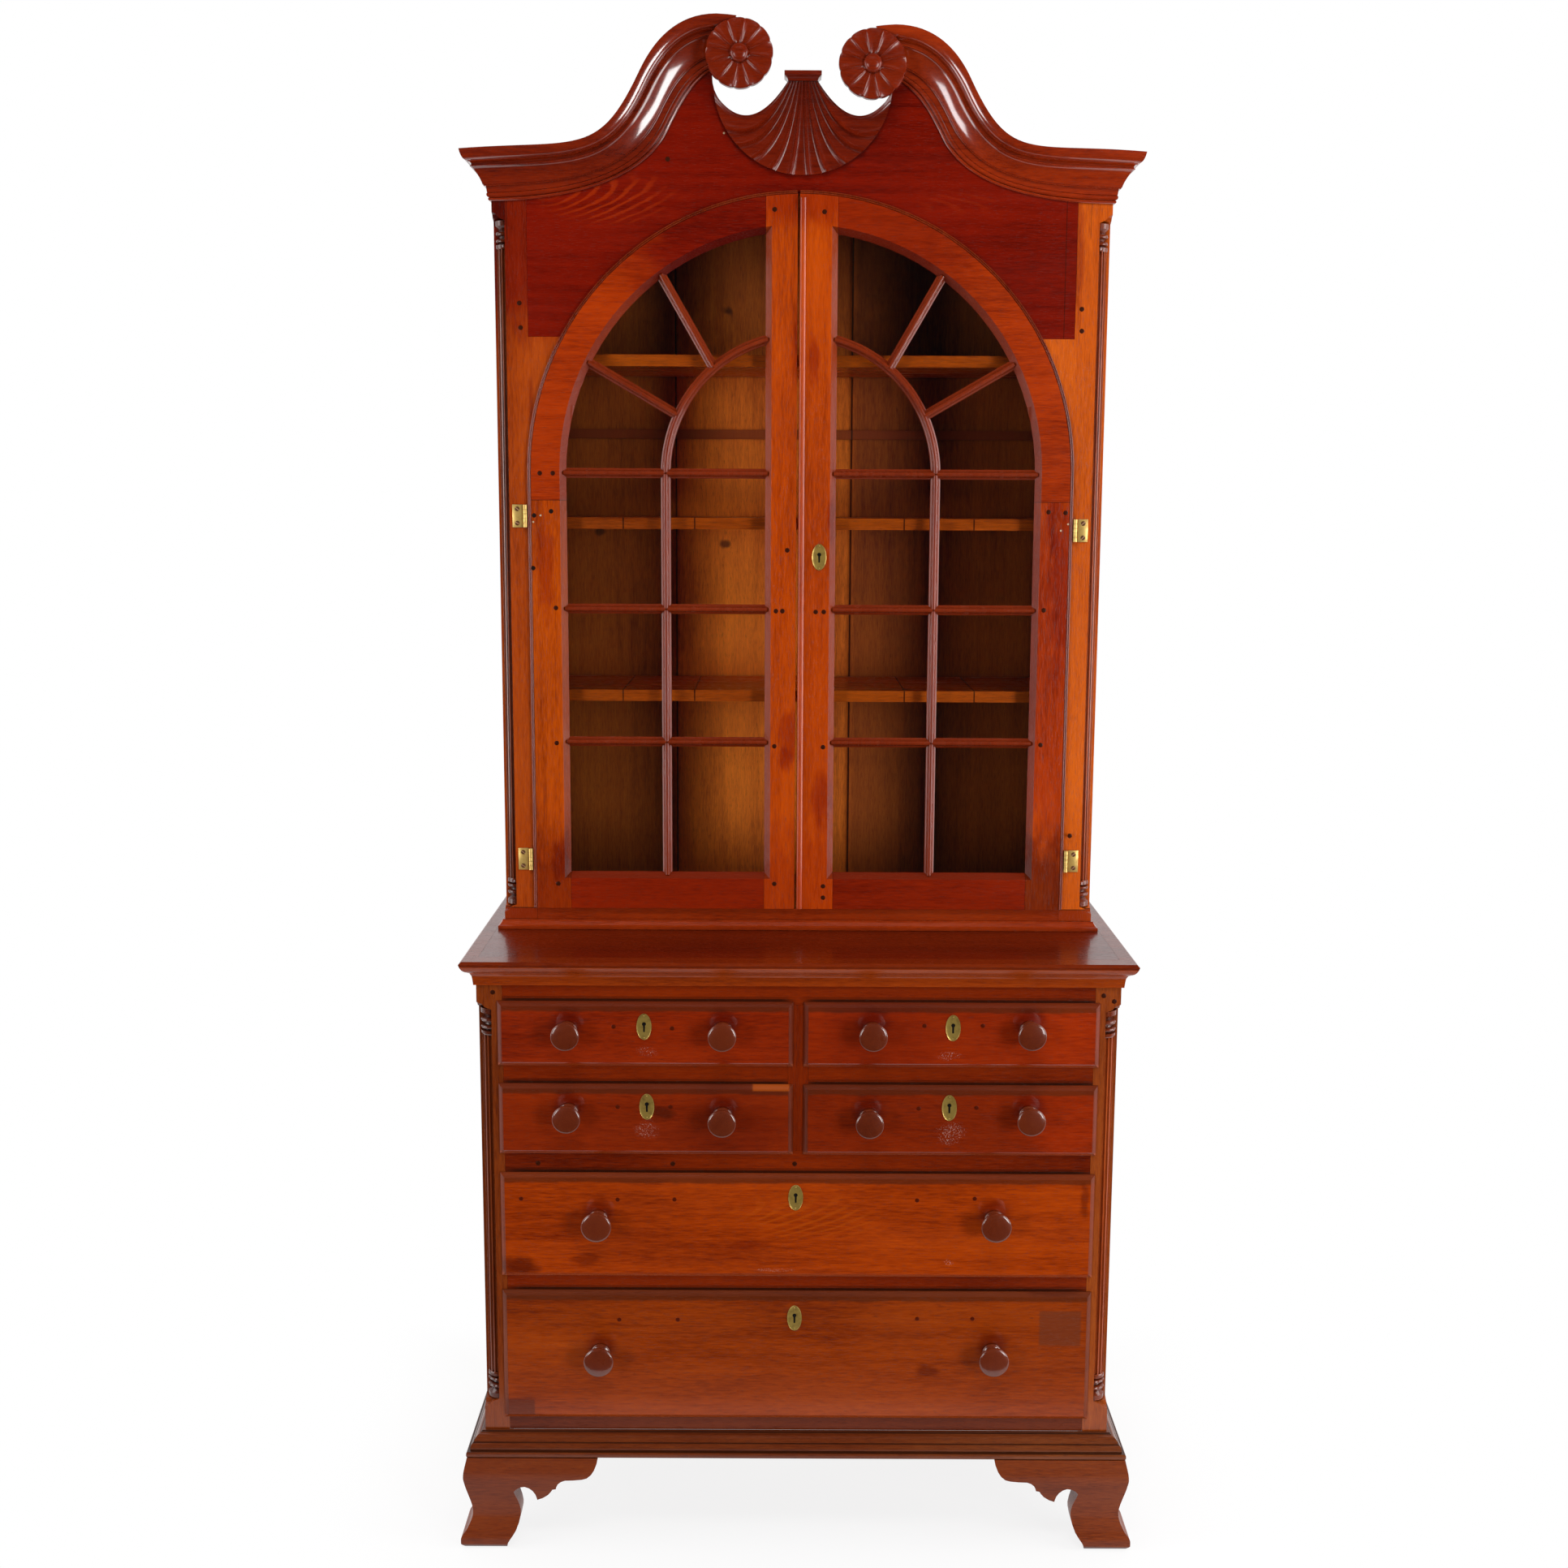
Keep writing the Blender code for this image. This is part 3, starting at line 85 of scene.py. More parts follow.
# Shader sockets with arithmetic
class Thread:
    def __init__(self, tree, socket=None):
        self.tree = tree
        self.socket = socket

    def node(self, kind, inputs=None, out=0, stops=None, **settings):
        made = self.tree.nodes.new(kind)
        for key, value in settings.items():
            setattr(made, key, value)
        if stops:
            ramp = made.color_ramp
            while len(ramp.elements) < len(stops):
                ramp.elements.new(0.5)
            for element, (at, colour) in zip(ramp.elements, stops):
                element.position = at
                element.color = (*colour, 1.0)
        for key, value in (inputs or {}).items():
            self.feed(made.inputs[key], value)
        return Thread(self.tree, made.outputs[out])

    def feed(self, socket, value):
        if isinstance(value, Thread):
            self.tree.links.new(value.socket, socket)
        else:
            socket.default_value = value

    def maths(self, operation, first, second=0.0):
        return self.node("ShaderNodeMath", {0: first, 1: second}, operation=operation)

    def __add__(self, other):
        return self.maths("ADD", self, other)

    __radd__ = __add__

    def __sub__(self, other):
        return self.maths("SUBTRACT", self, other)

    def __rsub__(self, other):
        return self.maths("SUBTRACT", other, self)

    def __mul__(self, other):
        return self.maths("MULTIPLY", self, other)

    __rmul__ = __mul__

    def __truediv__(self, other):
        return self.maths("DIVIDE", self, other)

    def __abs__(self):
        return self.maths("ABSOLUTE", self)

    def least(self, other):
        return self.maths("MINIMUM", self, other)

    def most(self, other):
        return self.maths("MAXIMUM", self, other)

    def root(self):
        return self.maths("SQRT", self)

    def ease(self, start, end):
        inputs = {"Value": self, "From Min": start, "From Max": end}
        return self.node("ShaderNodeMapRange", inputs, interpolation_type="SMOOTHSTEP")


def fromScreen(red, green, blue):
    # A screen colour of 0 to 255 as the linear one that shaders take
    steps = [value / 255 for value in (red, green, blue)]
    return tuple(v / 12.92 if v <= 0.04045 else ((v + 0.055) / 1.055) ** 2.4 for v in steps)


def newMaterial(name):
    material = bpy.data.materials.new(name)
    material.use_nodes = True
    tree = material.node_tree
    return material, tree.nodes["Principled BSDF"], Thread(tree)


def mixColour(thread, share, first, second, blend="MIX"):
    def colour(value):
        return value if isinstance(value, Thread) else (*value, 1.0)
    inputs = {0: share, 6: colour(first), 7: colour(second)}
    return thread.node("ShaderNodeMix", inputs, out=2, data_type="RGBA", blend_type=blend)


def scaled(tone, by):
    shares = by if isinstance(by, tuple) else (by, by, by)
    return tuple(share * part for share, part in zip(shares, tone))


def axesOf(thread, place):
    split = thread.node("ShaderNodeSeparateXYZ", {0: place})
    return [Thread(thread.tree, split.socket.node.outputs[axis]) for axis in ("X", "Y", "Z")]


def patchMask(x, z, mark, ragged):
    # A soft-edged blot or a straight-edged strip at (x, z), half sizes in "size"
    across = abs(x - mark["at"][0]) / mark["size"][0]
    along = abs(z - mark["at"][1]) / mark["size"][1]
    if mark.get("square"):
        return 1 - across.most(along).ease(0.92, 1.05)
    spread = (across * across + along * along).root()
    return 1 - (spread + (ragged - 0.5) * mark.get("ragged", 1.6)).ease(0.35, 1.0)


def ripples(thread, place, mark):
    # Figure in the grain: nested bright lines round a point beside the mark, leaning a little
    wide, tall, aside, lean = mark["ripple"]
    x, z = mark["at"][0] + aside, mark["at"][1]
    turned = thread.node("ShaderNodeVectorRotate", {
        "Vector": place, "Center": (x, 0.0, z), "Axis": (0.0, 1.0, 0.0), "Angle": math.radians(lean)})
    flat = thread.node("ShaderNodeMapping", {
        "Vector": turned, "Location": (-x, 0.0, -z * wide / tall), "Scale": (1.0, 0.0, wide / tall)})
    rings = thread.node("ShaderNodeTexWave", {
        "Vector": flat, "Scale": 0.314 / wide, "Distortion": 3.2, "Detail": 3.0, "Detail Scale": 1.4,
        "Detail Roughness": 0.6}, out=1, wave_type="RINGS", rings_direction="Y")
    return rings.ease(0.5, 0.98)


# Sizes of the arched doors, which their finish reads too
door = {"opening": 0.0556, "glassEdge": 0.3688, "sillTop": 1.0424, "spring": 1.6811, "faceY": -0.0265,
        "chamfer": 0.006, "sticking": 0.0095, "stickingY": -0.0155, "lip": 0.4234, "aboveSill": 1.3}

# Wood: cloudy colour, growth bands, fibres and pores stretched along the grain, then dirt, wear and polish
woodLook = {
    # Stretch along and across the grain, detail, and weight in the colour
    "broad": (2.4, 7.0, 2.0, 0.8), "bands": (1.3, 64.0, 4.0, 0.32),
    "streak": (9.0, 150.0, 3.0, 0.36), "fibre": (50.0, 520.0, 2.0, 0.6),
    "deep": (0.40, 0.26, 0.30), "bright": (1.42, 1.66, 1.7), "stops": (0.12, 0.5, 0.9),
    "rim": fromScreen(80, 33, 13), "worn": fromScreen(150, 64, 20),
    "lip": fromScreen(58, 26, 12), "moulded": fromScreen(96, 30, 9),
    "coatRoughness": 0.11, "specular": 0.2,
}


def wood(name, tone, grain="z", seed=1.0, contrast=1.0, gloss=0.26, coat=0.9, figure=0.0, edges=None,
         onDoor=False, swells=0.6, shadeInCorners=0.75, bareFrom=0.0, polish=1.5, marks=()):
    material, shader, thread = newMaterial(name)
    place = thread.node("ShaderNodeTexCoord", out="Object")
    x, y, z = axesOf(thread, place)
    shift = (1.37 * seed, 0.71 * seed, 2.11 * seed)

    def stretched(along, across):
        scale = [along if axis == grain else across for axis in "xyz"]
        return thread.node("ShaderNodeMapping", {"Vector": place, "Location": shift, "Scale": scale})

    def cloud(along, across, detail, warp=0.0):
        inputs = {"Vector": stretched(along, across), "Scale": 1.0, "Detail": detail, "Distortion": warp}
        return thread.node("ShaderNodeTexNoise", inputs)

    clouds = {}
    level = 0.0
    for kind in ("broad", "bands", "streak", "fibre"):
        along, across, detail, weight = woodLook[kind]
        clouds[kind] = cloud(along, across, detail, 0.5 + figure if kind == "bands" else 0.0)
        level = level + (clouds[kind] - 0.5) * weight
    level = 0.5 + contrast * level
    pores = cloud(90.0, 1300.0, 1.0).ease(0.58, 0.74)
    ragged = cloud(30.0, 60.0, 3.0)
    if figure:
        flame = thread.node("ShaderNodeTexWave", {
            "Vector": stretched(1.6, 9.0), "Scale": 1.4, "Distortion": 7.0 * figure, "Detail": 3.0,
            "Detail Scale": 1.2}, out=1, wave_type="BANDS", bands_direction="Z")
        level = level + (flame - 0.5) * 0.12 * figure

    def ramp(*colours):
        return thread.node("ShaderNodeValToRGB", {0: level}, stops=list(zip(woodLook["stops"], colours)))

    deep = scaled(tone, woodLook["deep"])
    colour = ramp(deep, tone, scaled(tone, woodLook["bright"]))
    colour = mixColour(thread, pores * 0.45, colour, scaled(deep, 0.5))
    rough = gloss + (cloud(4.0, 30.0, 2.0) - 0.5) * 0.14 + pores * 0.12
    shine = coat
    if edges:
        # A handled rim, a band along the top painted darker and dull, part dirt and part painted shade, and a
        # worn lower edge
        lowX, highX, lowZ, highZ = edges
        inside = (x - lowX).least(highX - x).least(highZ - z)
        rim = 1 - (inside + (ragged - 0.5) * 0.002).ease(0.0062, 0.0080)
        band = 1 - (highZ - z + (ragged - 0.5) * 0.007).ease(0.0120, 0.0165)
        colour = mixColour(thread, (rim * 0.62).most(band * 0.75), colour, woodLook["rim"])
        worn = 1 - (z - lowZ + (ragged - 0.5) * 0.002).ease(0.0030, 0.0060)
        colour = mixColour(thread, worn * 0.5, colour, woodLook["worn"])
        rough = rough + rim * 0.14
        shine = (1 - rim.most(worn) * 0.78) * coat
    if onDoor:
        # Darker colour along the moulded edge of an arched door, part dirt and part painted shade, and
        # darker, less polished colour on the moulding round its glass
        rise = (z - door["spring"]).most(0.0)
        reach = (x * x + rise * rise).root()
        shadeAndDirt = reach.ease(door["lip"] - 0.001, door["lip"] + 0.0008) * 0.6
        colour = mixColour(thread, shadeAndDirt, colour, woodLook["lip"])
        wide = door["sticking"]
        inside = (door["glassEdge"] + wide - reach).least(abs(x) - door["opening"] + wide)
        moulded = inside.least(z - door["sillTop"] + wide).ease(-0.0004, 0.0006)
        colour = mixColour(thread, moulded * 0.6, colour, woodLook["moulded"])
        shine = (1 - moulded * 0.68) * coat
    for mark in marks:
        mask = patchMask(x, z, mark, ragged) * mark["strength"]
        if mark.get("flecks"):
            speck = thread.node("ShaderNodeTexNoise", {"Vector": place, "Scale": 700.0, "Detail": 4.0})
            mask = mask * speck.ease(0.56, 0.7)
        if mark.get("ripple"):
            mask = mask * ripples(thread, place, mark)
        colour = mixColour(thread, mask, colour, mark["tone"], "MULTIPLY" if mark.get("tint") else "MIX")
    if bareFrom:
        # The hidden side of the board was never stained
        bare = ramp(scaled(tones["pine"], 0.6), tones["pine"], scaled(tones["pine"], 1.25))
        colour = mixColour(thread, y.ease(bareFrom, bareFrom + 0.002), colour, bare)
    if shadeInCorners:
        # Painted shade in the corners and creases, from ambient occlusion, with dirt and old polish
        clear = thread.node("ShaderNodeAmbientOcclusion", {"Distance": 0.008}, out="AO", samples=5)
        shadeAndDirt = (1 - clear + (ragged - 0.5) * 0.25).ease(0.28, 0.75) * shadeInCorners
        colour = mixColour(thread, shadeAndDirt, colour, scaled(deep, 0.3))
    height = cloud(3.0, 16.0, 2.0) * swells + clouds["fibre"] * 0.16 - pores * 0.3
    bump = thread.node("ShaderNodeBump", {"Strength": 0.35, "Distance": 0.0008, "Height": height})
    thread.feed(shader.inputs["Base Color"], colour)
    thread.feed(shader.inputs["Roughness"], rough)
    thread.feed(shader.inputs["Normal"], bump)
    thread.feed(shader.inputs["Coat Weight"], shine)
    shader.inputs["Coat Roughness"].default_value = woodLook["coatRoughness"]
    shader.inputs["Coat IOR"].default_value = polish
    shader.inputs["Specular IOR Level"].default_value = woodLook["specular"]
    return material


def brass(name, tone, tarnish, polish):
    material, shader, thread = newMaterial(name)
    place = thread.node("ShaderNodeTexCoord", out="Object")
    blots = thread.node("ShaderNodeTexNoise", {"Vector": place, "Scale": 110.0, "Detail": 5.0})
    scratches = thread.node("ShaderNodeTexNoise", {
        "Vector": thread.node("ShaderNodeMapping", {"Vector": place, "Scale": (900.0, 900.0, 60.0)}),
        "Scale": 1.0, "Detail": 2.0})
    dull = (blots + (scratches - 0.5) * 0.25).ease(0.40, 0.85)
    colour = mixColour(thread, dull, tone, tarnish)
    thread.feed(shader.inputs["Base Color"], colour)
    thread.feed(shader.inputs["Roughness"], polish + dull * 0.25)
    shader.inputs["Metallic"].default_value = 0.55
    relief = scratches - blots * 0.6
    bump = thread.node("ShaderNodeBump", {"Strength": 0.2, "Distance": 0.0002, "Height": relief})
    thread.feed(shader.inputs["Normal"], bump)
    return material


def paneGlass(name):
    # A thin old sheet: clear and slightly wavy, with a soft reflection that grows at a slant
    material, shader, thread = newMaterial(name)
    tree = material.node_tree
    tree.nodes.remove(shader)
    place = thread.node("ShaderNodeTexCoord", out="Object")
    waves = thread.node("ShaderNodeTexNoise", {"Vector": place, "Scale": 9.0, "Detail": 2.0})
    bump = thread.node("ShaderNodeBump", {"Strength": 0.25, "Distance": 0.004, "Height": waves})
    clear = thread.node("ShaderNodeBsdfTransparent", {"Color": (0.97, 0.97, 0.96, 1.0)})
    shine = thread.node("ShaderNodeBsdfGlossy", {
        "Color": (1.0, 1.0, 1.0, 1.0), "Roughness": 0.04, "Normal": bump})
    share = thread.node("ShaderNodeFresnel", {"IOR": 1.45})
    mixed = thread.node("ShaderNodeMixShader", {0: share, 1: clear, 2: shine})
    thread.feed(tree.nodes["Material Output"].inputs["Surface"], mixed)
    return material


def plainDark(name, tone, rough):
    material, shader, thread = newMaterial(name)
    place = thread.node("ShaderNodeTexCoord", out="Object")
    speck = thread.node("ShaderNodeTexNoise", {"Vector": place, "Scale": 700.0, "Detail": 3.0})
    thread.feed(shader.inputs["Base Color"], mixColour(thread, speck, scaled(tone, 0.6), scaled(tone, 1.5)))
    thread.feed(shader.inputs["Roughness"], rough + (speck - 0.5) * 0.2)
    shader.inputs["Specular IOR Level"].default_value = 0.12
    return material


# Light: a softbox at each side, two nearer the front and one above, in a room that shines from behind
lamps = {
    "left": {"place": (-2.6, -0.55, 1.6), "size": (1.4, 2.6), "power": 46.0},
    "right": {"place": (2.6, -0.55, 1.6), "size": (1.4, 2.6), "power": 58.0},
    "frontLeft": {"place": (-3.3, -4.0, 1.3), "size": (1.2, 2.0), "power": 62.0},
    "frontRight": {"place": (3.3, -4.0, 1.3), "size": (1.5, 2.4), "power": 125.0},
    "above": {"place": (0.0, -2.4, 4.3), "size": (2.2, 0.9), "power": 60.0, "shine": False},
}
lampsAim = Vector((0.0, 0.0, 1.15))


def hangLamps():
    for word, setting in lamps.items():
        lamp = bpy.data.lights.new("softbox_" + word, "AREA")
        lamp.shape = "RECTANGLE"
        lamp.size, lamp.size_y = setting["size"]
        lamp.energy = setting["power"]
        holder = bpy.data.objects.new("softbox_" + word, lamp)
        bpy.context.scene.collection.objects.link(holder)
        holder.visible_glossy = setting.get("shine", True)
        aim = lampsAim - Vector(setting["place"])
        turn = aim.to_track_quat("-Z", "Y").to_matrix().to_4x4()
        holder.matrix_world = Matrix.Translation(setting["place"]) @ turn


def lightRoom():
    world = bpy.data.worlds.new("room")
    bpy.context.scene.world = world
    world.use_nodes = True
    tree = world.node_tree
    thread = Thread(tree)
    way = thread.node("ShaderNodeTexCoord", out="Generated")
    behind = axesOf(thread, way)[1].ease(-0.25, 0.45)
    paths = thread.node("ShaderNodeLightPath", out="Is Camera Ray")
    through = Thread(tree, paths.socket.node.outputs["Is Transmission Ray"])
    strength = paths.most(through).most(0.02 + behind * 0.98)
    sky = tree.nodes["Background"]
    sky.inputs["Color"].default_value = (1.0, 1.0, 1.0, 1.0)
    thread.feed(sky.inputs["Strength"], strength)


# Floor: white paper that keeps the shadow close to the feet and runs out into white
paper = {"wide": 7.0, "deep": 4.6, "middle": (0.0, 1.62, -0.0004), "steps": 24, "shadow": (0.5, 0.25),
         "fade": (0.05, 0.33), "glow": 0.84}


def layFloor():
    bpy.ops.object.select_all(action="DESELECT")
    steps = paper["steps"]
    bpy.ops.mesh.primitive_grid_add(x_subdivisions=steps, y_subdivisions=steps, size=1.0)
    floor = bpy.context.object
    floor.name = "floor"
    bpy.ops.object.mode_set(mode="EDIT")
    bpy.ops.transform.resize(value=(paper["wide"], paper["deep"], 1.0), center_override=(0.0, 0.0, 0.0))
    bpy.ops.transform.translate(value=paper["middle"])
    bpy.ops.object.mode_set(mode="OBJECT")
    material, shader, thread = newMaterial("floor_paper")
    tree = material.node_tree
    place = thread.node("ShaderNodeTexCoord", out="Object")
    x, y = axesOf(thread, place)[:2]
    halfWide, halfDeep = paper["shadow"]
    away = (abs(x) - halfWide).most(abs(y) - halfDeep)
    fade = paper["glow"] + away.ease(*paper["fade"]) * (1 - paper["glow"])
    paths = thread.node("ShaderNodeLightPath", out="Is Camera Ray")
    glossy = Thread(tree, paths.socket.node.outputs["Is Glossy Ray"])
    through = Thread(tree, paths.socket.node.outputs["Is Transmission Ray"])
    grain = thread.node("ShaderNodeTexNoise", {"Vector": place, "Scale": 300.0, "Detail": 2.0})
    thread.feed(shader.inputs["Base Color"], mixColour(thread, grain, (0.86, 0.86, 0.86), (0.9, 0.9, 0.9)))
    shader.inputs["Roughness"].default_value = 0.9
    white = thread.node("ShaderNodeEmission", {"Color": (1.0, 1.0, 1.0, 1.0), "Strength": 1.0})
    mixed = thread.node("ShaderNodeMixShader", {
        0: fade * paths.most(glossy).most(through), 1: Thread(tree, shader.outputs[0]), 2: white})
    thread.feed(tree.nodes["Material Output"].inputs["Surface"], mixed)
    floor.data.materials.append(material)


hangLamps()
lightRoom()
layFloor()
print("camera, lamps and floor set")


# Modelling steps shared by the pieces below
def clearAll():
    if bpy.context.object and bpy.context.object.mode != "OBJECT":
        bpy.ops.object.mode_set(mode="OBJECT")
    bpy.ops.object.select_all(action="DESELECT")


def only(item):
    clearAll()
    item.select_set(True)
    bpy.context.view_layer.objects.active = item


def pickFaces(item, test):
    bpy.ops.mesh.select_mode(type="FACE")
    form = bmesh.from_edit_mesh(item.data)
    for face in form.faces:
        face.select_set(test(face.calc_center_median(), face.normal))
    form.select_flush_mode()
    bmesh.update_edit_mesh(item.data)


def trace(name, points, fill=True):
    # Draws a line of vertices through the points and, if asked, fills it to a face
    clearAll()
    bpy.ops.mesh.primitive_plane_add(size=0.001, location=points[0])
    item = bpy.context.object
    item.name = item.data.name = name
    bpy.ops.object.transform_apply(location=True, rotation=True, scale=True)
    bpy.ops.object.mode_set(mode="EDIT")
    bpy.ops.mesh.select_mode(type="VERT")
    bpy.ops.mesh.merge(type="CENTER")
    for before, after in zip(points, points[1:]):
        bpy.ops.mesh.extrude_region_move(TRANSFORM_OT_translate={"value": Vector(after) - Vector(before)})
    bpy.ops.mesh.select_all(action="SELECT")
    if fill:
        bpy.ops.mesh.edge_face_add()
    return item


def push(step):
    bpy.ops.mesh.extrude_region_move(TRANSFORM_OT_translate={"value": step})


# Points nearer to each other than this are one
fineMerge = 0.000005


def closeUp(merge=0.00002):
    # Merges the points of the mesh at hand and turns its faces outward
    bpy.ops.object.mode_set(mode="EDIT")
    bpy.ops.mesh.select_all(action="SELECT")
    bpy.ops.mesh.remove_doubles(threshold=merge)
    bpy.ops.mesh.normals_make_consistent(inside=False)
    bpy.ops.object.mode_set(mode="OBJECT")


def lathe(name, profile, centre, axis, steps):
    # The profile gives (radius, reach along the axis) from root to tip; the axis is -Y or Z
    root, along, side = Vector(centre), Vector(axis), Vector((1.0, 0.0, 0.0))
    item = trace(name, [root + side * radius + along * reach for radius, reach in profile], fill=False)
    bpy.ops.mesh.spin(steps=steps, angle=2 * math.pi, center=root, axis=along)
    closeUp()
    return item


def applyAll(item):
    only(item)
    for modifier in list(item.modifiers):
        bpy.ops.object.modifier_apply(modifier=modifier.name)


def soften(item, width, segments=2, angle=40.0):
    bevel = item.modifiers.new("soften", "BEVEL")
    bevel.width = width
    bevel.segments = segments
    bevel.limit_method = "ANGLE"
    bevel.angle_limit = math.radians(angle)
    applyAll(item)


def cut(item, tool):
    boolean = item.modifiers.new("cut", "BOOLEAN")
    boolean.operation = "DIFFERENCE"
    boolean.solver = "EXACT"
    boolean.object = tool
    applyAll(item)
    bpy.data.objects.remove(tool, do_unlink=True)


def finishPiece(item, body, material, smooth, stands=()):
    only(item)
    bpy.ops.object.transform_apply(location=True, rotation=True, scale=True)
    bpy.ops.object.shade_smooth_by_angle(angle=math.radians(smooth))
    item.data.materials.clear()
    item.data.materials.append(material)
    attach(item, body)
    if stands:
        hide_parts(*stands)


def copyOf(item, name, step=(0.0, 0.0, 0.0)):
    only(item)
    bpy.ops.object.duplicate()
    twin = bpy.context.object
    twin.name = twin.data.name = name
    bpy.ops.object.mode_set(mode="EDIT")
    bpy.ops.mesh.select_all(action="SELECT")
    bpy.ops.transform.translate(value=step)
    bpy.ops.object.mode_set(mode="OBJECT")
    return twin


def joinAll(items, name):
    only(items[0])
    for item in items[1:]:
        item.select_set(True)
    bpy.context.view_layer.objects.active = items[0]
    bpy.ops.object.join()
    items[0].name = items[0].data.name = name
    return items[0]


def block(name, place, size, turn=0.0):
    # A box to start from, turned about Y if asked
    clearAll()
    bpy.ops.mesh.primitive_cube_add(size=1.0, location=place)
    item = bpy.context.object
    item.name = item.data.name = name
    item.scale = size
    item.rotation_euler = (0.0, turn, 0.0)
    bpy.ops.object.transform_apply(location=True, rotation=True, scale=True)
    return item


def gridThrough(name, rows):
    # A sheet of faces through rows of points
    clearAll()
    bpy.ops.mesh.primitive_grid_add(x_subdivisions=len(rows[0]) - 1, y_subdivisions=len(rows) - 1, size=1.0)
    item = bpy.context.object
    item.name = item.data.name = name
    for corner, spot in zip(item.data.vertices, [spot for row in rows for spot in row]):
        corner.co = spot
    item.data.update()
    return item


def sweptThrough(name, rings):
    # A solid through rings of points, each a closed section that ends where it starts
    item = gridThrough(name, rings)
    closeUp(fineMerge)
    bpy.ops.object.mode_set(mode="EDIT")
    bpy.ops.mesh.select_all(action="SELECT")
    bpy.ops.mesh.fill_holes(sides=0)
    bpy.ops.mesh.normals_make_consistent(inside=False)
    bpy.ops.object.mode_set(mode="OBJECT")
    return item


def nodeCopy(node, name):
    # A copy of a CAD node with its loose triangles merged and its flat faces made whole
    item = bpy.data.objects.new(name, nodes[node].data.copy())
    bpy.context.scene.collection.objects.link(item)
    only(item)
    bpy.ops.object.mode_set(mode="EDIT")
    bpy.ops.mesh.select_all(action="SELECT")
    bpy.ops.mesh.remove_doubles(threshold=fineMerge)
    bpy.ops.mesh.dissolve_limited(angle_limit=math.radians(0.3))
    bpy.ops.object.mode_set(mode="OBJECT")
    return item


def dressNode(node, material):
    # A CAD node that stays, with its own material
    item = nodes[node]
    if item.material_slots:
        for place in item.material_slots:
            place.material = material
    else:
        item.data.materials.append(material)


sides = {"left": -1, "right": 1}
forward = (0.0, -1.0, 0.0)


def sideOf(node):
    return -1 if node.endswith("left") else 1


# Finishes, each tone as it looks on the screen. The right-hand stile, chest stile, column, cornice and front
# foot take lighter tones than the left-hand ones: painted light, as the right side stands in brighter light
tones = {name: fromScreen(*colour) for name, colour in {
    "tympanum": (112, 15, 1), "stileLeft": (160, 62, 9), "stileRight": (188, 80, 14), "side": (124, 42, 8),
    "doorStile": (172, 62, 4), "doorArch": (158, 48, 3), "doorSill": (124, 27, 2), "bars": (118, 38, 11),
    "interior": (242, 124, 29), "shelf": (220, 99, 14), "pine": (176, 132, 84), "bookcaseBase": (136, 42, 7),
    "corniceLeft": (120, 30, 3), "corniceRight": (142, 40, 5), "shell": (108, 25, 5), "rosette": (112, 28, 5),
    "columnLeft": (108, 44, 15), "columnRight": (150, 64, 24), "chestTop": (92, 21, 2),
    "topMoulding": (150, 56, 10), "chestStile": (124, 52, 14), "chestStileRight": (146, 66, 22),
    "rail": (120, 34, 2), "chestBottom": (96, 33, 6), "rowTop": (140, 37, 2), "rowSecond": (128, 35, 2),
    "rowThird": (162, 57, 3), "rowBottom": (140, 52, 5), "knob": (100, 36, 12), "peg": (52, 17, 4),
    "base": (94, 38, 12), "footLeft": (104, 41, 12), "footRight": (113, 47, 15),
}.items()}

# How much polish lies on each finish, where it isn't the usual
usualCoat = 0.42
coats = {"pine": 0.0, "interior": 0.0, "shelf": 0.0, "chestTop": 0.3, "bookcaseBase": 0.25, "base": 0.3,
         "footLeft": 0.07, "footRight": 0.07, "chestBottom": 0.06, "chestStile": 0.4, "chestStileRight": 0.4,
         "topMoulding": 0.28, "rowTop": 0.9, "rowSecond": 0.9, "rowThird": 0.7, "rowBottom": 0.26}
# The right-hand stiles of chest and bookcase take lighter tones, painted light
finishes = {
    "chest_side_left": ("side", "z"), "chest_side_right": ("side", "z"),
    "chest_stile_left": ("chestStile", "z"), "chest_stile_right": ("chestStileRight", "z"),
    "chest_bottom": ("chestBottom", "x"), "chest_back": ("pine", "z"), "chest_top": ("chestTop", "x"),
    "chest_rail_lower": ("rail", "x"), "chest_rail_middle": ("rail", "x"), "chest_rail_upper": ("rail", "x"),
    "chest_rail_top": ("rail", "x"), "chest_divider": ("rail", "z"), "bookcase_base": ("bookcaseBase", "x"),
    "bookcase_side_left": ("side", "z"), "bookcase_side_right": ("side", "z"),
    "bookcase_stile_left": ("stileLeft", "z"), "bookcase_stile_right": ("stileRight", "z"),
    "bookcase_back": ("interior", "z"), "bookcase_top": ("pine", "x"),
    "shelf_lower": ("shelf", "x"), "shelf_middle": ("shelf", "x"), "shelf_upper": ("shelf", "x"),
    "tympanum": ("tympanum", "x"),
}

# The upright faces that carry marks
backY, shelfY, caseY, chestY, frontY = 0.2585, 0.0145, -0.0195, -0.2245, -0.2325
knot, kerf, scuff = fromScreen(58, 24, 6), fromScreen(30, 12, 4), fromScreen(214, 190, 176)


def markAt(place, size, tone, strength=1.0, **more):
    # A mark on the wood by its middle as (x, z) and its half sizes; "tint" multiplies the colour under it
    return {"at": place, "size": size, "tone": tone, "strength": strength, **more}


def seenMark(across, down, y, wide, tall, tone, strength=1.0, **more):
    # A mark by its middle in the photograph
    return markAt(seenAt(across, down, y), (wide, tall), tone, strength, **more)


def seenShade(across, down, y, wide, tall, tone, strength=1.0, ragged=1.6):
    return seenMark(across, down, y, wide, tall, tone, strength, tint=True, ragged=ragged)


def seenLine(across, down, y, wide, tall, strength=0.8, tone=kerf):
    return seenMark(across, down, y, wide, tall, tone, strength, square=True)


def seenScuff(across, down, wide, tall, strength):
    return seenMark(across, down, frontY, wide, tall, scuff, strength, flecks=True)


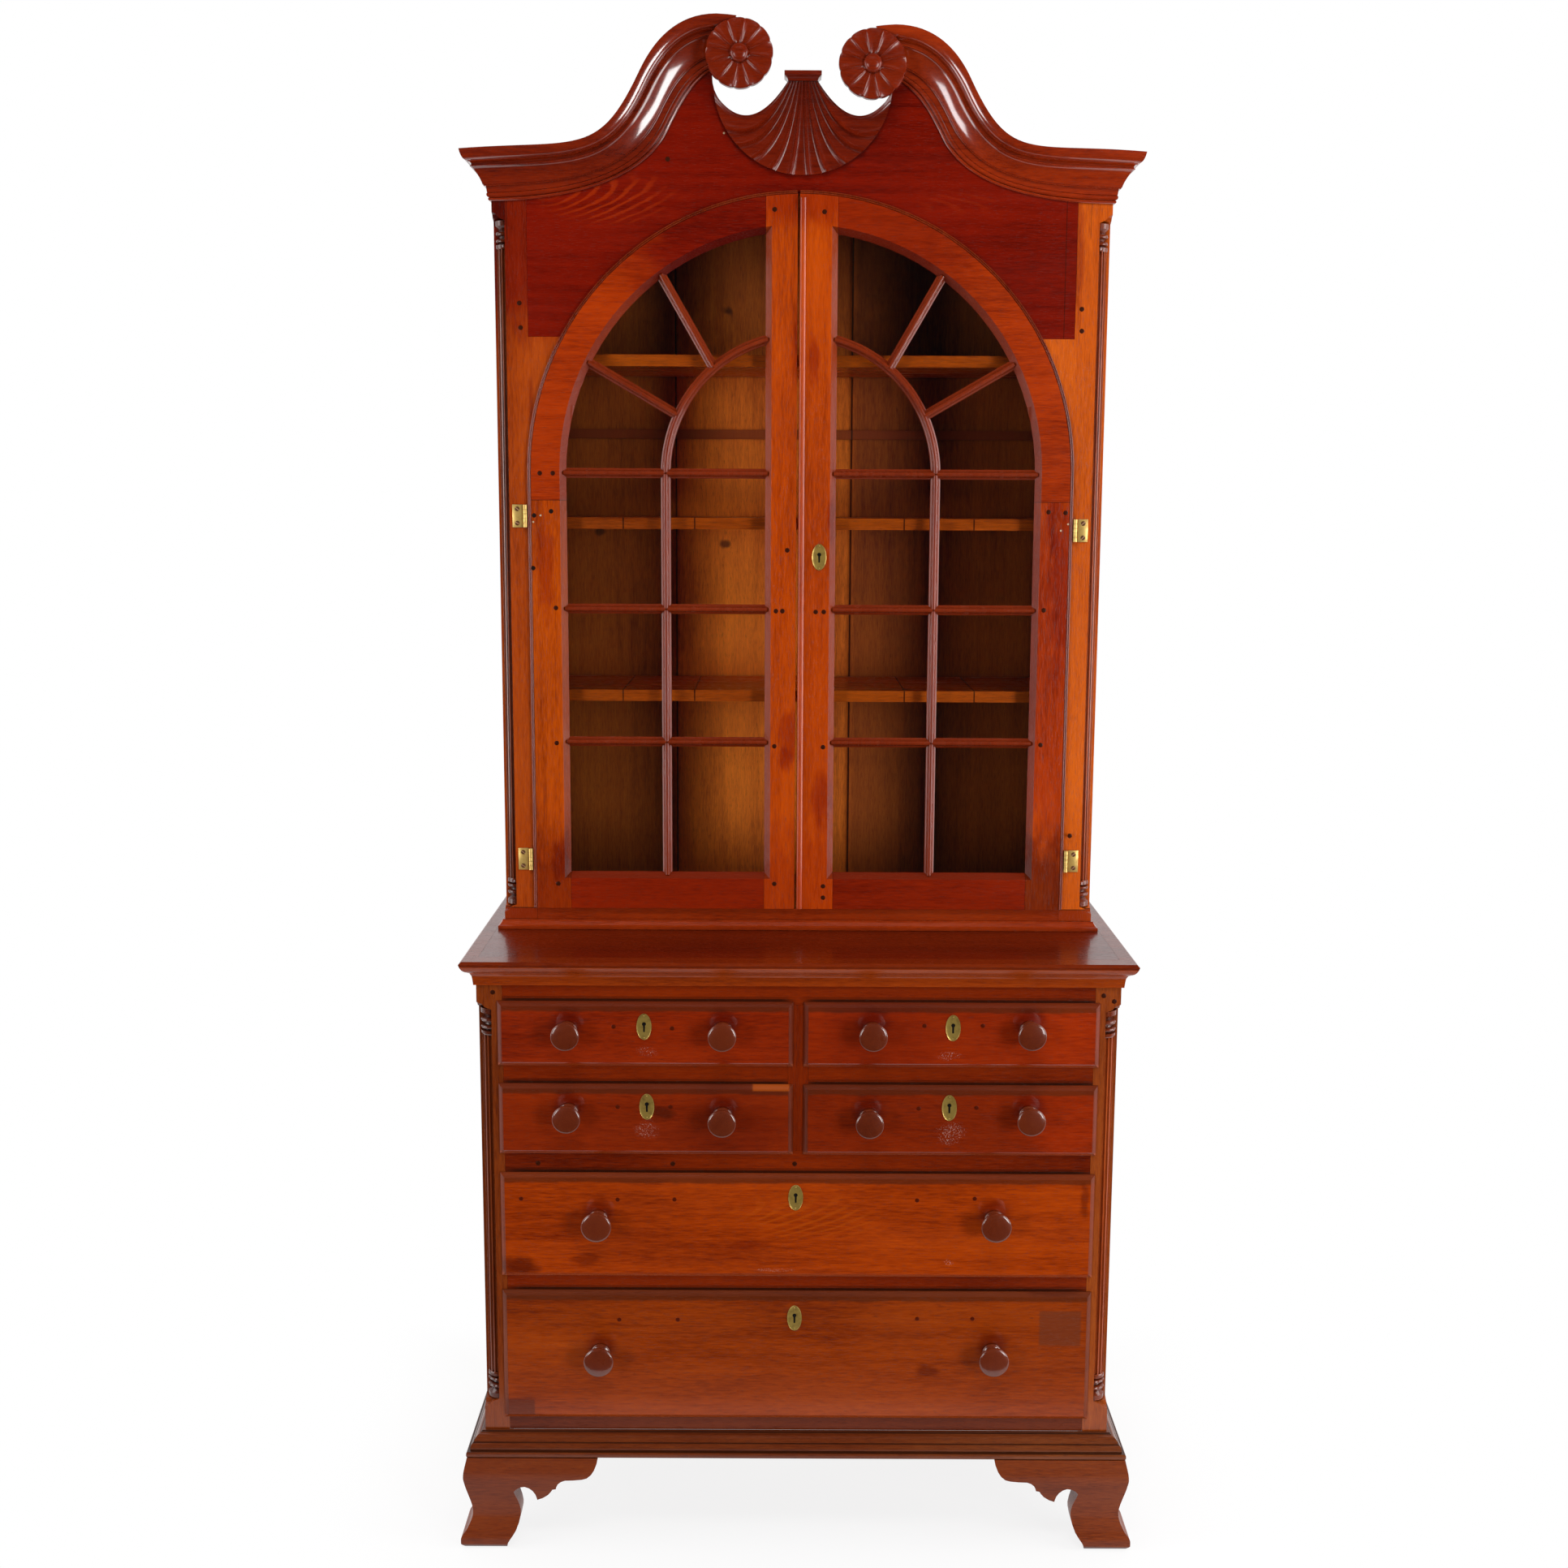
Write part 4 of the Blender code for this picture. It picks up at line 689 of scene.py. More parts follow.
shelfJoints = {"shelf_lower": 870, "shelf_middle": 655, "across": (768, 856, 1114, 1200)}
stileFoot = [markAt((0.0, 0.9726), (0.5, 0.0092), fromScreen(128, 36, 6), 0.9, square=True),
             markAt((0.0, 0.9822), (0.5, 0.0008), kerf, 0.8, square=True)]
boardMarks = {
    # The back's outer boards are tinted darker, part their own tone and part painted shade, and its top is
    # painted darker as shade under the top board
    "bookcase_back": [
        markAt((-0.356, 1.5), (0.144, 0.9), (0.55, 0.54, 0.52), square=True, tint=True),
        markAt((0.0, 2.12), (0.7, 0.30), (0.55, 0.52, 0.65), tint=True, ragged=0.4),
        markAt((0.294, 1.5), (0.206, 0.9), (0.46, 0.42, 0.42), square=True, tint=True),
        markAt((0.0, 1.7512), (0.46, 0.0078), fromScreen(150, 62, 22), 0.85, square=True),
        seenMark(893, 670, backY, 0.012, 0.009, knot, 0.8),
        seenMark(739, 655, backY, 0.013, 0.009, knot, 0.7),
        seenMark(896, 384, backY, 0.012, 0.010, knot, 0.8),
        seenLine(834, 760, backY, 0.0012, 0.9),
        seenLine(1047, 760, backY, 0.0014, 0.9, 0.9),
    ],
    "bookcase_stile_left": [
        seenShade(636, 295, caseY, 0.25, 0.20, (0.52, 0.20, 0.3), ragged=0.5), *stileFoot,
        seenMark(613, 256, caseY, 0.0120, 0.0260, (0.42, 0.30, 0.4), 0.9, tint=True, square=True),
        seenLine(624, 262, caseY, 0.0006, 0.040, 0.6),
        seenShade(655, 520, caseY, 0.006, 0.10, (0.6, 0.4, 0.5), 0.7, 1.2),
    ],
    "bookcase_stile_right": [
        *stileFoot,
        seenShade(1330, 320, caseY, 0.010, 0.13, (0.62, 0.42, 0.5), 0.7, 1.2),
        seenLine(1345, 262, caseY, 0.0006, 0.040, 0.5),
        seenShade(1352, 700, caseY, 0.008, 0.12, (0.7, 0.5, 0.5), 0.6, 1.2),
    ],
    "tympanum": [
        seenMark(745, 243, caseY, 0.120, 0.050, fromScreen(156, 44, 5), 0.6, ragged=0.7,
                 ripple=(0.030, 0.0085, -0.085, 13.0)),
        seenMark(1180, 250, caseY, 0.080, 0.025, fromScreen(140, 34, 4), 0.35, ragged=0.8,
                 ripple=(0.05, 0.007, -0.12, -6.0)),
        seenLine(648, 330, caseY, 0.0007, 0.12, 0.6),
        seenLine(1313, 332, caseY, 0.0007, 0.12, 0.6),
    ],
}
for shelf in ("shelf_lower", "shelf_middle"):
    boardMarks[shelf] = [seenLine(across, shelfJoints[shelf], shelfY, 0.0011, 0.05, 0.85)
                         for across in shelfJoints["across"]]


def drawerShadowLines(rail):
    # A painted shadow line, with some dirt, on a rail along the top of each drawer under it, where the
    # drawer's lip shades the rail
    low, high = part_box(rail)
    marks = []
    for name in fronts:
        left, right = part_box(name + "_front")
        if low.z < right.z + 0.004 < high.z:
            place, half = ((left.x + right.x) / 2, right.z), (right.x - left.x) / 2
            for tall, strength in ((0.0075, 0.4), (0.0038, 0.8)):
                marks.append(markAt(place, (half, tall), kerf, strength, square=True))
    return marks


def dressBoards():
    for index, (node, (tone, grain)) in enumerate(finishes.items()):
        finish = wood(
            node + "_wood", tones[tone], grain, 1.0 + index, coat=coats.get(tone, usualCoat),
            gloss=0.6 if tone in ("pine", "interior") else 0.26, figure=0.8 if node == "tympanum" else 0.0,
            bareFrom=backY + 0.006 if node == "bookcase_back" else 0.0,
            marks=drawerShadowLines(node) if node.startswith("chest_rail") else boardMarks.get(node, ()))
        dressNode(node, finish)
    for index, name in enumerate(fronts):
        finish = wood(name + "_box_wood", tones["pine"], "y", 40.0 + index, gloss=0.65, coat=coats["pine"])
        dressNode(name + "_box", finish)


def dressCurved():
    # Top moulding and rear feet: merged copies with smooth faces
    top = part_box("chest_top_moulding")[1].z
    border = markAt((0.0, top), (1.0, 0.008), (0.46, 0.34, 0.35), square=True, tint=True)
    curved = {"chest_top_moulding": ("topMoulding", "x", [border]),
              "rear_foot_left": ("footLeft", "y", ()), "rear_foot_right": ("footLeft", "y", ())}
    for index, (node, (tone, grain, marks)) in enumerate(curved.items()):
        finish = wood(node + "_wood", tones[tone], grain, 60.0 + index, coat=coats[tone], swells=0.25,
                      marks=marks)
        finishPiece(nodeCopy(node, node + "_smooth"), "carcass", finish, 22.0, (node,))


# Base moulding: a torus, a hollow and an ovolo under a fillet
base = {
    "half": 0.4927, "faceY": chestY, "backY": 0.2705, "bottom": 0.1473, "height": 0.0357, "out": 0.027,
    "gap": 0.0003,
    # Shares of its reach and of its height
    "section": (
        (0.90, 0.0), (0.955, 0.02), (0.99, 0.06), (1.0, 0.11), (1.0, 0.17), (0.99, 0.22), (0.955, 0.255),
        (0.93, 0.262), (0.80, 0.268), (0.785, 0.285), (0.785, 0.30), (0.79, 0.33), (0.782, 0.40),
        (0.762, 0.46), (0.73, 0.515), (0.69, 0.555), (0.665, 0.562), (0.655, 0.585), (0.625, 0.605),
        (0.595, 0.607), (0.585, 0.64), (0.56, 0.70), (0.515, 0.76), (0.45, 0.815), (0.37, 0.86),
        (0.285, 0.89), (0.25, 0.897), (0.235, 0.93), (0.19, 0.945), (0.16, 1.0)),
    # Dark quirks, painted shade in the narrow grooves: share of the height, half size
    "shadedQuirks": ((0.282, 0.0011), (0.592, 0.0007), (0.96, 0.0013)),
    "paler": {"size": (0.42, 0.2), "tone": (1.22, 1.5, 1.7), "strength": 0.9, "tint": True, "ragged": 0.5},
}


def baseMoulding():
    gap = base["gap"]
    profile = [(base["out"] * out, rise) for out, rise in base["section"]]
    section = [(gap, 0.0), *profile, (gap, 1.0), (gap, 0.0)]
    rings = []
    for side, atBack in ((-1, True), (-1, False), (1, False), (1, True)):
        rings.append([(side * (base["half"] + out), base["backY"] if atBack else base["faceY"] - out,
                       base["bottom"] + base["height"] * rise) for out, rise in section])
    return sweptThrough("base_moulding_fine", rings)


# Front feet: an ogee run round the corner, with a scrolled bracket cut through each of its two wings
foot = {
    "height": 0.147, "wing": 0.1802, "toe": 0.0365, "waist": 0.0192, "bulge": 0.0317, "seat": 0.012,
    "over": 0.005, "steps": 6,
    # Ogee from the sole up: which reach, its share, and the share of the height
    "ogee": (("toe", 0.85, 0.0), ("toe", 1.0, 0.05), ("toe", 0.965, 0.127), ("toe", 0.74, 0.197),
             ("waist", 1.0, 0.37), ("bulge", 0.93, 0.69), ("bulge", 1.0, 0.82), ("bulge", 0.83, 1.0)),
    # Scroll from the sole to the far end: shares of the wing and of the height
    "scroll": (
        (0.199, 0.0), (0.208, 0.054), (0.231, 0.101), (0.276, 0.173), (0.299, 0.244), (0.313, 0.327),
        (0.3146, 0.375), (0.3037, 0.446), (0.2855, 0.518), (0.267, 0.577), (0.260, 0.613), (0.2855, 0.649),
        (0.322, 0.673), (0.358, 0.679), (0.395, 0.661), (0.4266, 0.625), (0.449, 0.577), (0.4566, 0.542),
        (0.463, 0.506), (0.513, 0.530), (0.5586, 0.571), (0.586, 0.613), (0.5995, 0.643), (0.631, 0.651),
        (0.636, 0.679), (0.6496, 0.714), (0.677, 0.744), (0.713, 0.762), (0.786, 0.765), (0.859, 0.774),
        (0.904, 0.789), (0.941, 0.827), (0.968, 0.875), (0.991, 0.946), (1.0, 1.0)),
}


def smoothLine(points, steps):
    # More points on a soft curve through the given ones
    line = [Vector(point) for point in points]
    line = [2 * line[0] - line[1], *line, 2 * line[-1] - line[-2]]
    made = []
    for a, b, c, d in zip(line, line[1:], line[2:], line[3:]):
        for t in [step / steps for step in range(steps)]:
            bend = (2 * a - 5 * b + 4 * c - d) * t * t + (3 * b - a - 3 * c + d) * t ** 3
            made.append(0.5 * (2 * b + (c - a) * t + bend))
    return [*made, line[-2]]


def frontFoot(word, side):
    high, wing, toe, seat, over = (foot[key] for key in ("height", "wing", "toe", "seat", "over"))
    half, faceY = base["half"], base["faceY"]
    bends = [(share * foot[reach], rise * high) for reach, share, rise in foot["ogee"]]
    ogee = smoothLine(bends, foot["steps"])
    section = [*[(min(point.x, toe), point.y) for point in ogee], (-seat, high), (-seat, 0.0)]
    section.append(section[0])
    tail = wing + seat
    item = sweptThrough(f"front_foot_{word}_carved", [
        [(side * (half - tail), faceY - out, z) for out, z in section],
        [(side * (half + out), faceY - out, z) for out, z in section],
        [(side * (half + out), faceY + tail, z) for out, z in section]])
    scroll = [(u * wing, v * high) for u, v in foot["scroll"]]
    scroll += [(wing, high + over), (2 * wing, high + over), (2 * wing, -over), (scroll[0][0], -over)]
    deep = toe + seat + 2 * over
    for points, way in (
            ([(side * (half - u), faceY - toe - over, z) for u, z in scroll], (0.0, deep, 0.0)),
            ([(side * (half - seat - over), faceY + u, z) for u, z in scroll], (side * deep, 0.0, 0.0))):
        tool = trace("scroll", points)
        push(way)
        closeUp(fineMerge)
        cut(item, tool)
    return item


def fitBase():
    marks = [{"at": (base["half"], base["bottom"]), **base["paler"]}]
    # Painted shade along each quirk
    for share, tall in base["shadedQuirks"]:
        level = base["bottom"] + base["height"] * share
        marks.append(markAt((0.0, level), (1.0, tall), kerf, 0.75, square=True))
    finish = wood("base_moulding_wood", tones["base"], "x", 58.0, gloss=0.3, coat=coats["base"], swells=0.15,
                  shadeInCorners=0.9, marks=marks)
    finishPiece(baseMoulding(), "carcass", finish, 24.0, ("base_moulding",))
    for word, side in sides.items():
        # The right-hand foot's lighter tone is painted light
        tone = "foot" + word.title()
        finish = wood(f"front_foot_{word}_wood", tones[tone], "x", 56.0 + side, gloss=0.34, coat=coats[tone],
                      swells=0.3)
        finishPiece(frontFoot(word, side), "carcass", finish, 28.0, ("front_foot_" + word,))


# Swan-neck cornices: a moulded section swept along the side, round the corner and up behind its rosette
cornice = {
    "half": 0.478, "bottom": 2.0921, "height": 0.0705, "out": 0.0417, "depth": 0.29, "faceY": caseY,
    "gap": 0.0003, "radius": 0.051, "left": (0.0963, 2.302), "right": (0.1042, 2.2877), "steps": (26, 18),
    # Each edge of a neck: its bend in shares of the span and the climb, its end and last points in radii from
    # the rosette's centre, its angles at start, bend and end, and its curves' reach in shares of the span
    "upper": {"bend": (0.70, 0.57), "end": (0.66, 1.09), "last": ((0.34, 1.07), (0.08, 1.04)),
              "angles": (175.5, 116.5, 180.0), "reach": (0.47, 0.36, 0.085, 0.18)},
    "lower": {"bend": (0.82, 0.55), "end": (1.0, -0.43), "last": ((0.79, -0.30), (0.55, -0.16)),
              "angles": (180.0, 117.0, 142.0), "reach": (0.335, 0.255, 0.15, 0.09)},
    # From the lower edge up: share of the height, share of the reach
    "section": (
        (0.0, 0.02), (0.004, 0.06), (0.018, 0.092), (0.038, 0.105), (0.058, 0.095), (0.070, 0.070),
        (0.075, 0.085), (0.088, 0.125), (0.110, 0.150), (0.135, 0.155), (0.157, 0.145), (0.170, 0.120),
        (0.176, 0.135), (0.24, 0.150), (0.295, 0.165), (0.298, 0.235), (0.322, 0.238), (0.325, 0.268),
        (0.37, 0.292), (0.42, 0.328), (0.47, 0.372), (0.52, 0.422), (0.57, 0.478), (0.615, 0.532),
        (0.65, 0.585), (0.662, 0.62), (0.665, 0.655), (0.682, 0.658), (0.685, 0.615), (0.735, 0.618),
        (0.752, 0.66), (0.762, 0.72), (0.775, 0.735), (0.779, 0.785), (0.79, 0.832), (0.815, 0.882),
        (0.855, 0.925), (0.90, 0.958), (0.945, 0.981), (0.98, 0.994), (1.0, 1.0)),
}


def swing(start, startTurn, startReach, end, endTurn, endReach, steps):
    # A cubic curve that leaves the start and reaches the end at given angles in degrees
    a, d = Vector(start), Vector(end)
    b = a + startReach * Vector((math.cos(math.radians(startTurn)), math.sin(math.radians(startTurn))))
    c = d - endReach * Vector((math.cos(math.radians(endTurn)), math.sin(math.radians(endTurn))))
    line = []
    for t in [step / steps for step in range(steps + 1)]:
        s = 1 - t
        line.append(s ** 3 * a + 3 * t * s ** 2 * b + 3 * t * t * s * c + t ** 3 * d)
    return line


def neckEdge(word, edge, start):
    # One edge of a neck on the right-hand side, from the corner to behind its rosette
    form = cornice[edge]
    centre = Vector(cornice[word])
    end, *last = [centre + cornice["radius"] * Vector(spot) for spot in (form["end"], *form["last"])]
    span, climb = start.x - end.x, end.y - start.y
    bend = (start.x - form["bend"][0] * span, start.y + form["bend"][1] * climb)
    leave, turn, arrive = form["angles"]
    reach = [share * span for share in form["reach"]]
    first, second = cornice["steps"]
    line = swing(start, leave, reach[0], bend, turn, reach[1], first)
    line += swing(bend, turn, reach[2], end, arrive, reach[3], second)[1:]
    return line + last


def neckCornice(word, side):
    half, bottom, height, reach, gap, faceY = (
        cornice[key] for key in ("half", "bottom", "height", "out", "gap", "faceY"))
    section = [(0.0, gap), *[(rise, reach * out) for rise, out in cornice["section"]], (1.0, gap), (0.0, gap)]
    upper = neckEdge(word, "upper", Vector((half + reach, bottom + height)))
    lower = neckEdge(word, "lower", Vector((half, bottom)))
    back = faceY + cornice["depth"]
    rings = [[(side * (half + out), back, bottom + height * rise) for rise, out in section],
             [(side * (half + out), faceY - out, bottom + height * rise) for rise, out in section]]
    for top, under in zip(upper[1:], lower[1:]):
        way = top - under
        rings.append([(side * (under.x + way.x * rise), faceY - out, under.y + way.y * rise)
                      for rise, out in section])
    return sweptThrough(f"cornice_{word}_moulded", rings)


def fitCornices():
    for word, side in sides.items():
        # The right-hand cornice's lighter tone is painted light
        finish = wood(f"cornice_{word}_wood", tones["cornice" + word.title()], "x", 66.0 + side, gloss=0.24,
                      coat=1.0, swells=0.12, shadeInCorners=0.9, polish=1.8)
        finishPiece(neckCornice(word, side), "carcass", finish, 24.0, ("cornice_" + word,))


# Quarter columns: a shaft of hollow flutes between turned rings
column = {
    "shaft": 0.90, "flutes": 4, "flutePoints": 8, "hollow": 0.0030, "fillet": 0.19, "rings": 0.042,
    "steps": 24,
    # A turned end from its tip, as share of the radius and height: a square edge, two rounds, and a collar
    "edge": ((0.0, 0.0), (0.99, 0.0), (0.99, 0.0075), (0.70, 0.0122), (0.62, 0.0142)),
    "rounds": ((0.0190, 0.0042), (0.0300, 0.0036)), "roundRoot": 0.66, "roundOut": 0.33,
    "neck": 0.62, "neckRise": 0.0012, "collar": ((0.97, -0.006), (0.97, -0.002)),
    "endTint": (0.44, 0.36, 0.36),
}


def columnEnd():
    section = list(column["edge"])
    for middle, half in column["rounds"]:
        for angle in [math.pi * (step / 6 - 0.5) for step in range(7)]:
            out = column["roundRoot"] + column["roundOut"] * math.cos(angle)
            section.append((out, middle + half * math.sin(angle)))
        section.append((column["neck"], middle + half + column["neckRise"]))
    top = column["rings"]
    section += [(share, top + rise) for share, rise in column["collar"]]
    return [*section, (column["shaft"], top), (0.0, top)]


def quarterColumn(node):
    low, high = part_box(node)
    side = sideOf(node)
    centre = Vector((high.x if side < 0 else low.x, high.y, 0.0))
    radius = high.x - low.x
    bottom = low.z + column["rings"]
    count = column["flutes"] * column["flutePoints"]
    points = [(centre.x, centre.y, bottom)]
    for step in range(count + 1):
        share = step / column["flutePoints"] % 1.0
        aside = (share - 0.5) / (0.5 - column["fillet"])
        hollow = max(0.0, 1 - aside ** 2) ** 0.5 if 0 < share < 1 else 0.0
        reach = radius * column["shaft"] - column["hollow"] * hollow
        angle = math.pi / 2 * step / count
        points.append((centre.x + side * reach * math.cos(angle), centre.y - reach * math.sin(angle), bottom))
    shaft = trace("shaft", points)
    push((0.0, 0.0, high.z - low.z - 2 * column["rings"]))
    closeUp(fineMerge)
    parts = [shaft]
    for level, way in ((low.z, 1), (high.z, -1)):
        line = [(centre.x + side * radius * share, centre.y, level + way * rise)
                for share, rise in columnEnd()]
        ring = trace("ring", line)
        bpy.ops.mesh.spin(
            steps=column["steps"], angle=side * math.pi / 2, center=centre, axis=(0.0, 0.0, 1.0))
        closeUp(fineMerge)
        parts.append(ring)
    return joinAll(parts, node + "_fluted")


def fitColumns():
    names = ("chest_column_left", "chest_column_right", "bookcase_column_left", "bookcase_column_right")
    for index, node in enumerate(names):
        low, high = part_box(node)
        half = column["rings"] / 2
        marks = [markAt((low.x, level), (0.05, half), column["endTint"], tint=True, square=True)
                 for level in (low.z + half, high.z - half)]
        # The right-hand columns' lighter tone is painted light
        tone = tones["columnRight" if sideOf(node) > 0 else "columnLeft"]
        finish = wood(node + "_wood", tone, "z", 50.0 + index, gloss=0.22, coat=0.5, swells=0.12, marks=marks)
        finishPiece(quarterColumn(node), "carcass", finish, 30.0, (node,))


# Shell: hollow flutes that leave the neck under the cap and fan out to a round edge
shell = {
    "ridges": (7.0, 31.0, 44.0, 56.5, 70.0, 82.0, 94.0, 105.5, 119.0, 132.0, 145.0, 173.0), "radius": 0.1366,
    "capBottom": 2.2688, "neck": 0.0212, "waist": (0.0804, 2.2189), "floorY": -0.0198, "thin": 0.0048,
    "thick": 0.0106, "perFlute": 14, "rows": 40, "ridgeWidth": 0.96, "ridgePower": 4.5, "rootRelief": 0.45,
    "reliefRate": 1.6, "lap": 0.002, "lift": 0.0002,
    # The cap's half width, its slab as a share of its height, and its steps down as (width, drop)
    "capHalf": 0.0283, "slab": 0.42,
    "capSteps": ((0.97, 0.06), (0.90, 0.10), (0.84, 0.14), (0.81, 0.16), (0.80, 0.12)),
}


def carvedShell():
    ridges, radius, bottom = shell["ridges"], shell["radius"], shell["capBottom"]
    count = (len(ridges) - 1) * shell["perFlute"]
    root = bottom + shell["lap"]
    tip = math.radians(ridges[0])
    rim = Vector((radius * math.cos(tip), bottom - radius * math.sin(tip)))
    pull = 2 * Vector(shell["waist"]) - 0.5 * (Vector((shell["neck"], root)) + rim)
    rows = []
    for s in [row / shell["rows"] for row in range(shell["rows"] + 1)]:
        spots = []
        for step in range(count + 1):
            flute, within = divmod(step, shell["perFlute"])
            t = within / shell["perFlute"]
            after = min(flute + 1, len(ridges) - 1)
            angle = math.radians(180 + ridges[flute] + (ridges[after] - ridges[flute]) * t)
            share = (math.degrees(angle) - 270) / (90 - ridges[0])
            start = Vector(((2 * step / count - 1) * shell["neck"], root))
            bend = Vector((share * pull.x, pull.y))
            end = Vector((radius * math.cos(angle), bottom + radius * math.sin(angle)))
            point = (1 - s) ** 2 * start + 2 * s * (1 - s) * bend + s * s * end
            ridge = min(1.0, abs(2 * t - 1) / shell["ridgeWidth"]) ** shell["ridgePower"]
            relief = shell["rootRelief"] + (1 - shell["rootRelief"]) * min(1.0, shell["reliefRate"] * s)
            out = shell["thick"] - (shell["thick"] - shell["thin"]) * relief * (1 - ridge)
            spots.append((point.x, shell["floorY"] - out + shell["lift"], point.y))
        rows.append(spots)
    item = gridThrough("shell_carved", rows)
    bpy.ops.object.mode_set(mode="EDIT")
    bpy.ops.mesh.select_all(action="SELECT")
    bpy.ops.mesh.region_to_loop()
    push((0.0, 0.0, 0.0))
    bpy.ops.transform.resize(value=(1.0, 0.0, 1.0), center_override=(0.0, shell["floorY"], 0.0))
    bpy.ops.mesh.edge_face_add()
    closeUp(0.000002)
    return item


def shellCap():
    low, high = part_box("shell")
    height = high.z - shell["capBottom"]
    slab = shell["slab"] * height
    item = block("shell_cap", (0.0, (low.y + high.y) / 2, high.z - slab / 2),
                 (2 * shell["capHalf"], high.y - low.y, slab))
    bpy.ops.object.mode_set(mode="EDIT")
    pickFaces(item, lambda centre, normal: normal.z < -0.9)
    before = 1.0
    for share, drop in shell["capSteps"]:
        push((0.0, 0.0, -drop * height))
        step = share / before
        bpy.ops.transform.resize(value=(step, step, 1.0), center_override=(0.0, high.y, high.z))
        before = share
    bpy.ops.object.mode_set(mode="OBJECT")
    soften(item, 0.0006, 2, 50.0)
    return item


# Rosettes: twelve scooped petals with a fine ridge between them, round a button
rosette = {
    "petals": 12, "perPetal": 20, "left": 20.0, "right": 12.0, "scoop": 0.0027, "ridge": 0.0004,
    "lobe": 0.032, "thick": 0.015, "backY": -0.0495,
    # From the stub behind to the button: share of the radius, reach in thicknesses, share of the scoop
    "rings": (
        (0.002, -1.9, 0.0), (0.66, -1.9, 0.0), (0.66, 0.0, 0.0), (0.985, 0.0, 0.0), (1.0, 0.10, 0.0),
        (1.0, 0.84, 0.8), (0.985, 0.96, 1.0), (0.93, 1.01, 1.0), (0.80, 1.05, 1.0), (0.66, 1.06, 1.0),
        (0.52, 1.05, 0.95), (0.40, 1.0, 0.8), (0.32, 0.94, 0.5), (0.285, 0.86, 0.2), (0.275, 0.84, 0.0),
        (0.265, 1.04, 0.0), (0.25, 1.16, 0.0), (0.215, 1.27, 0.0), (0.16, 1.36, 0.0), (0.09, 1.42, 0.0),
        (0.002, 1.435, 0.0)),
}


def carvedRosette(node, turned):
    low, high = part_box(node)
    centre, radius = (low + high) / 2, (high.x - low.x) / 2
    count = rosette["petals"] * rosette["perPetal"]
    rows = []
    for share, out, scoop in rosette["rings"]:
        spots = []
        for step in range(count + 1):
            t = step % rosette["perPetal"] / rosette["perPetal"]
            angle = math.radians(turned) + 2 * math.pi * step / count
            edge = abs(2 * t - 1)
            lobe = 1 - rosette["lobe"] * edge ** 4 if share > 0.9 else 1.0
            ridge = rosette["ridge"] * max(0.0, edge - 0.85) * 6
            dip = scoop * (rosette["scoop"] * (1 - edge ** 2.4) - ridge)
            reach = radius * share * lobe
            y = rosette["backY"] - rosette["thick"] * out + dip
            spots.append((centre.x + reach * math.cos(angle), y, centre.z + reach * math.sin(angle)))
        rows.append(spots)
    item = gridThrough(node + "_carved", rows)
    closeUp(0.0002)
    return item


def fitCarving():
    cap = shellCap()
    finish = wood("shell_wood", tones["shell"], "x", 61.0, coat=0.6, swells=0.2)
    finishPiece(carvedShell(), "carcass", finish, 24.0, ("shell",))
    finishPiece(cap, "carcass", finish, 30.0)
    for word in sides:
        node, turned = "rosette_" + word, rosette[word]
        finish = wood(node + "_wood", tones["rosette"], "x", 64.0 + turned, coat=0.38, swells=0.2)
        finishPiece(carvedRosette(node, turned), "carcass", finish, 26.0, (node,))


# Drawer fronts: a board with a rounded lip, two turned knobs and an oval keyhole plate.
# Each plate by its (x, z), each knob by the middle of its face in the photograph
fronts = {
    "top_drawer_left": {
        "tone": "rowTop", "plate": (-0.2360, 0.845), "knobs": ((695.5, 1278.1), (889.5, 1279.2))},
    "top_drawer_right": {
        "tone": "rowTop", "plate": (0.2360, 0.845), "knobs": ((1076.4, 1279.2), (1272.4, 1278.1))},
    "second_drawer_left": {
        "tone": "rowSecond", "plate": (-0.2325, 0.718), "knobs": ((697.2, 1380.2), (889.2, 1385.3))},
    "second_drawer_right": {
        "tone": "rowSecond", "plate": (0.2325, 0.718), "knobs": ((1071.9, 1387.0), (1271.3, 1383.6))},
    "third_drawer": {
        "tone": "rowThird", "plate": (-0.0029, 0.5724), "knobs": ((734.2, 1513.2), (1228.0, 1513.8))},
    "bottom_drawer": {
        "tone": "rowBottom", "plate": (-0.0038, 0.3748), "knobs": ((737.3, 1679.4), (1224.9, 1679.4))},
}
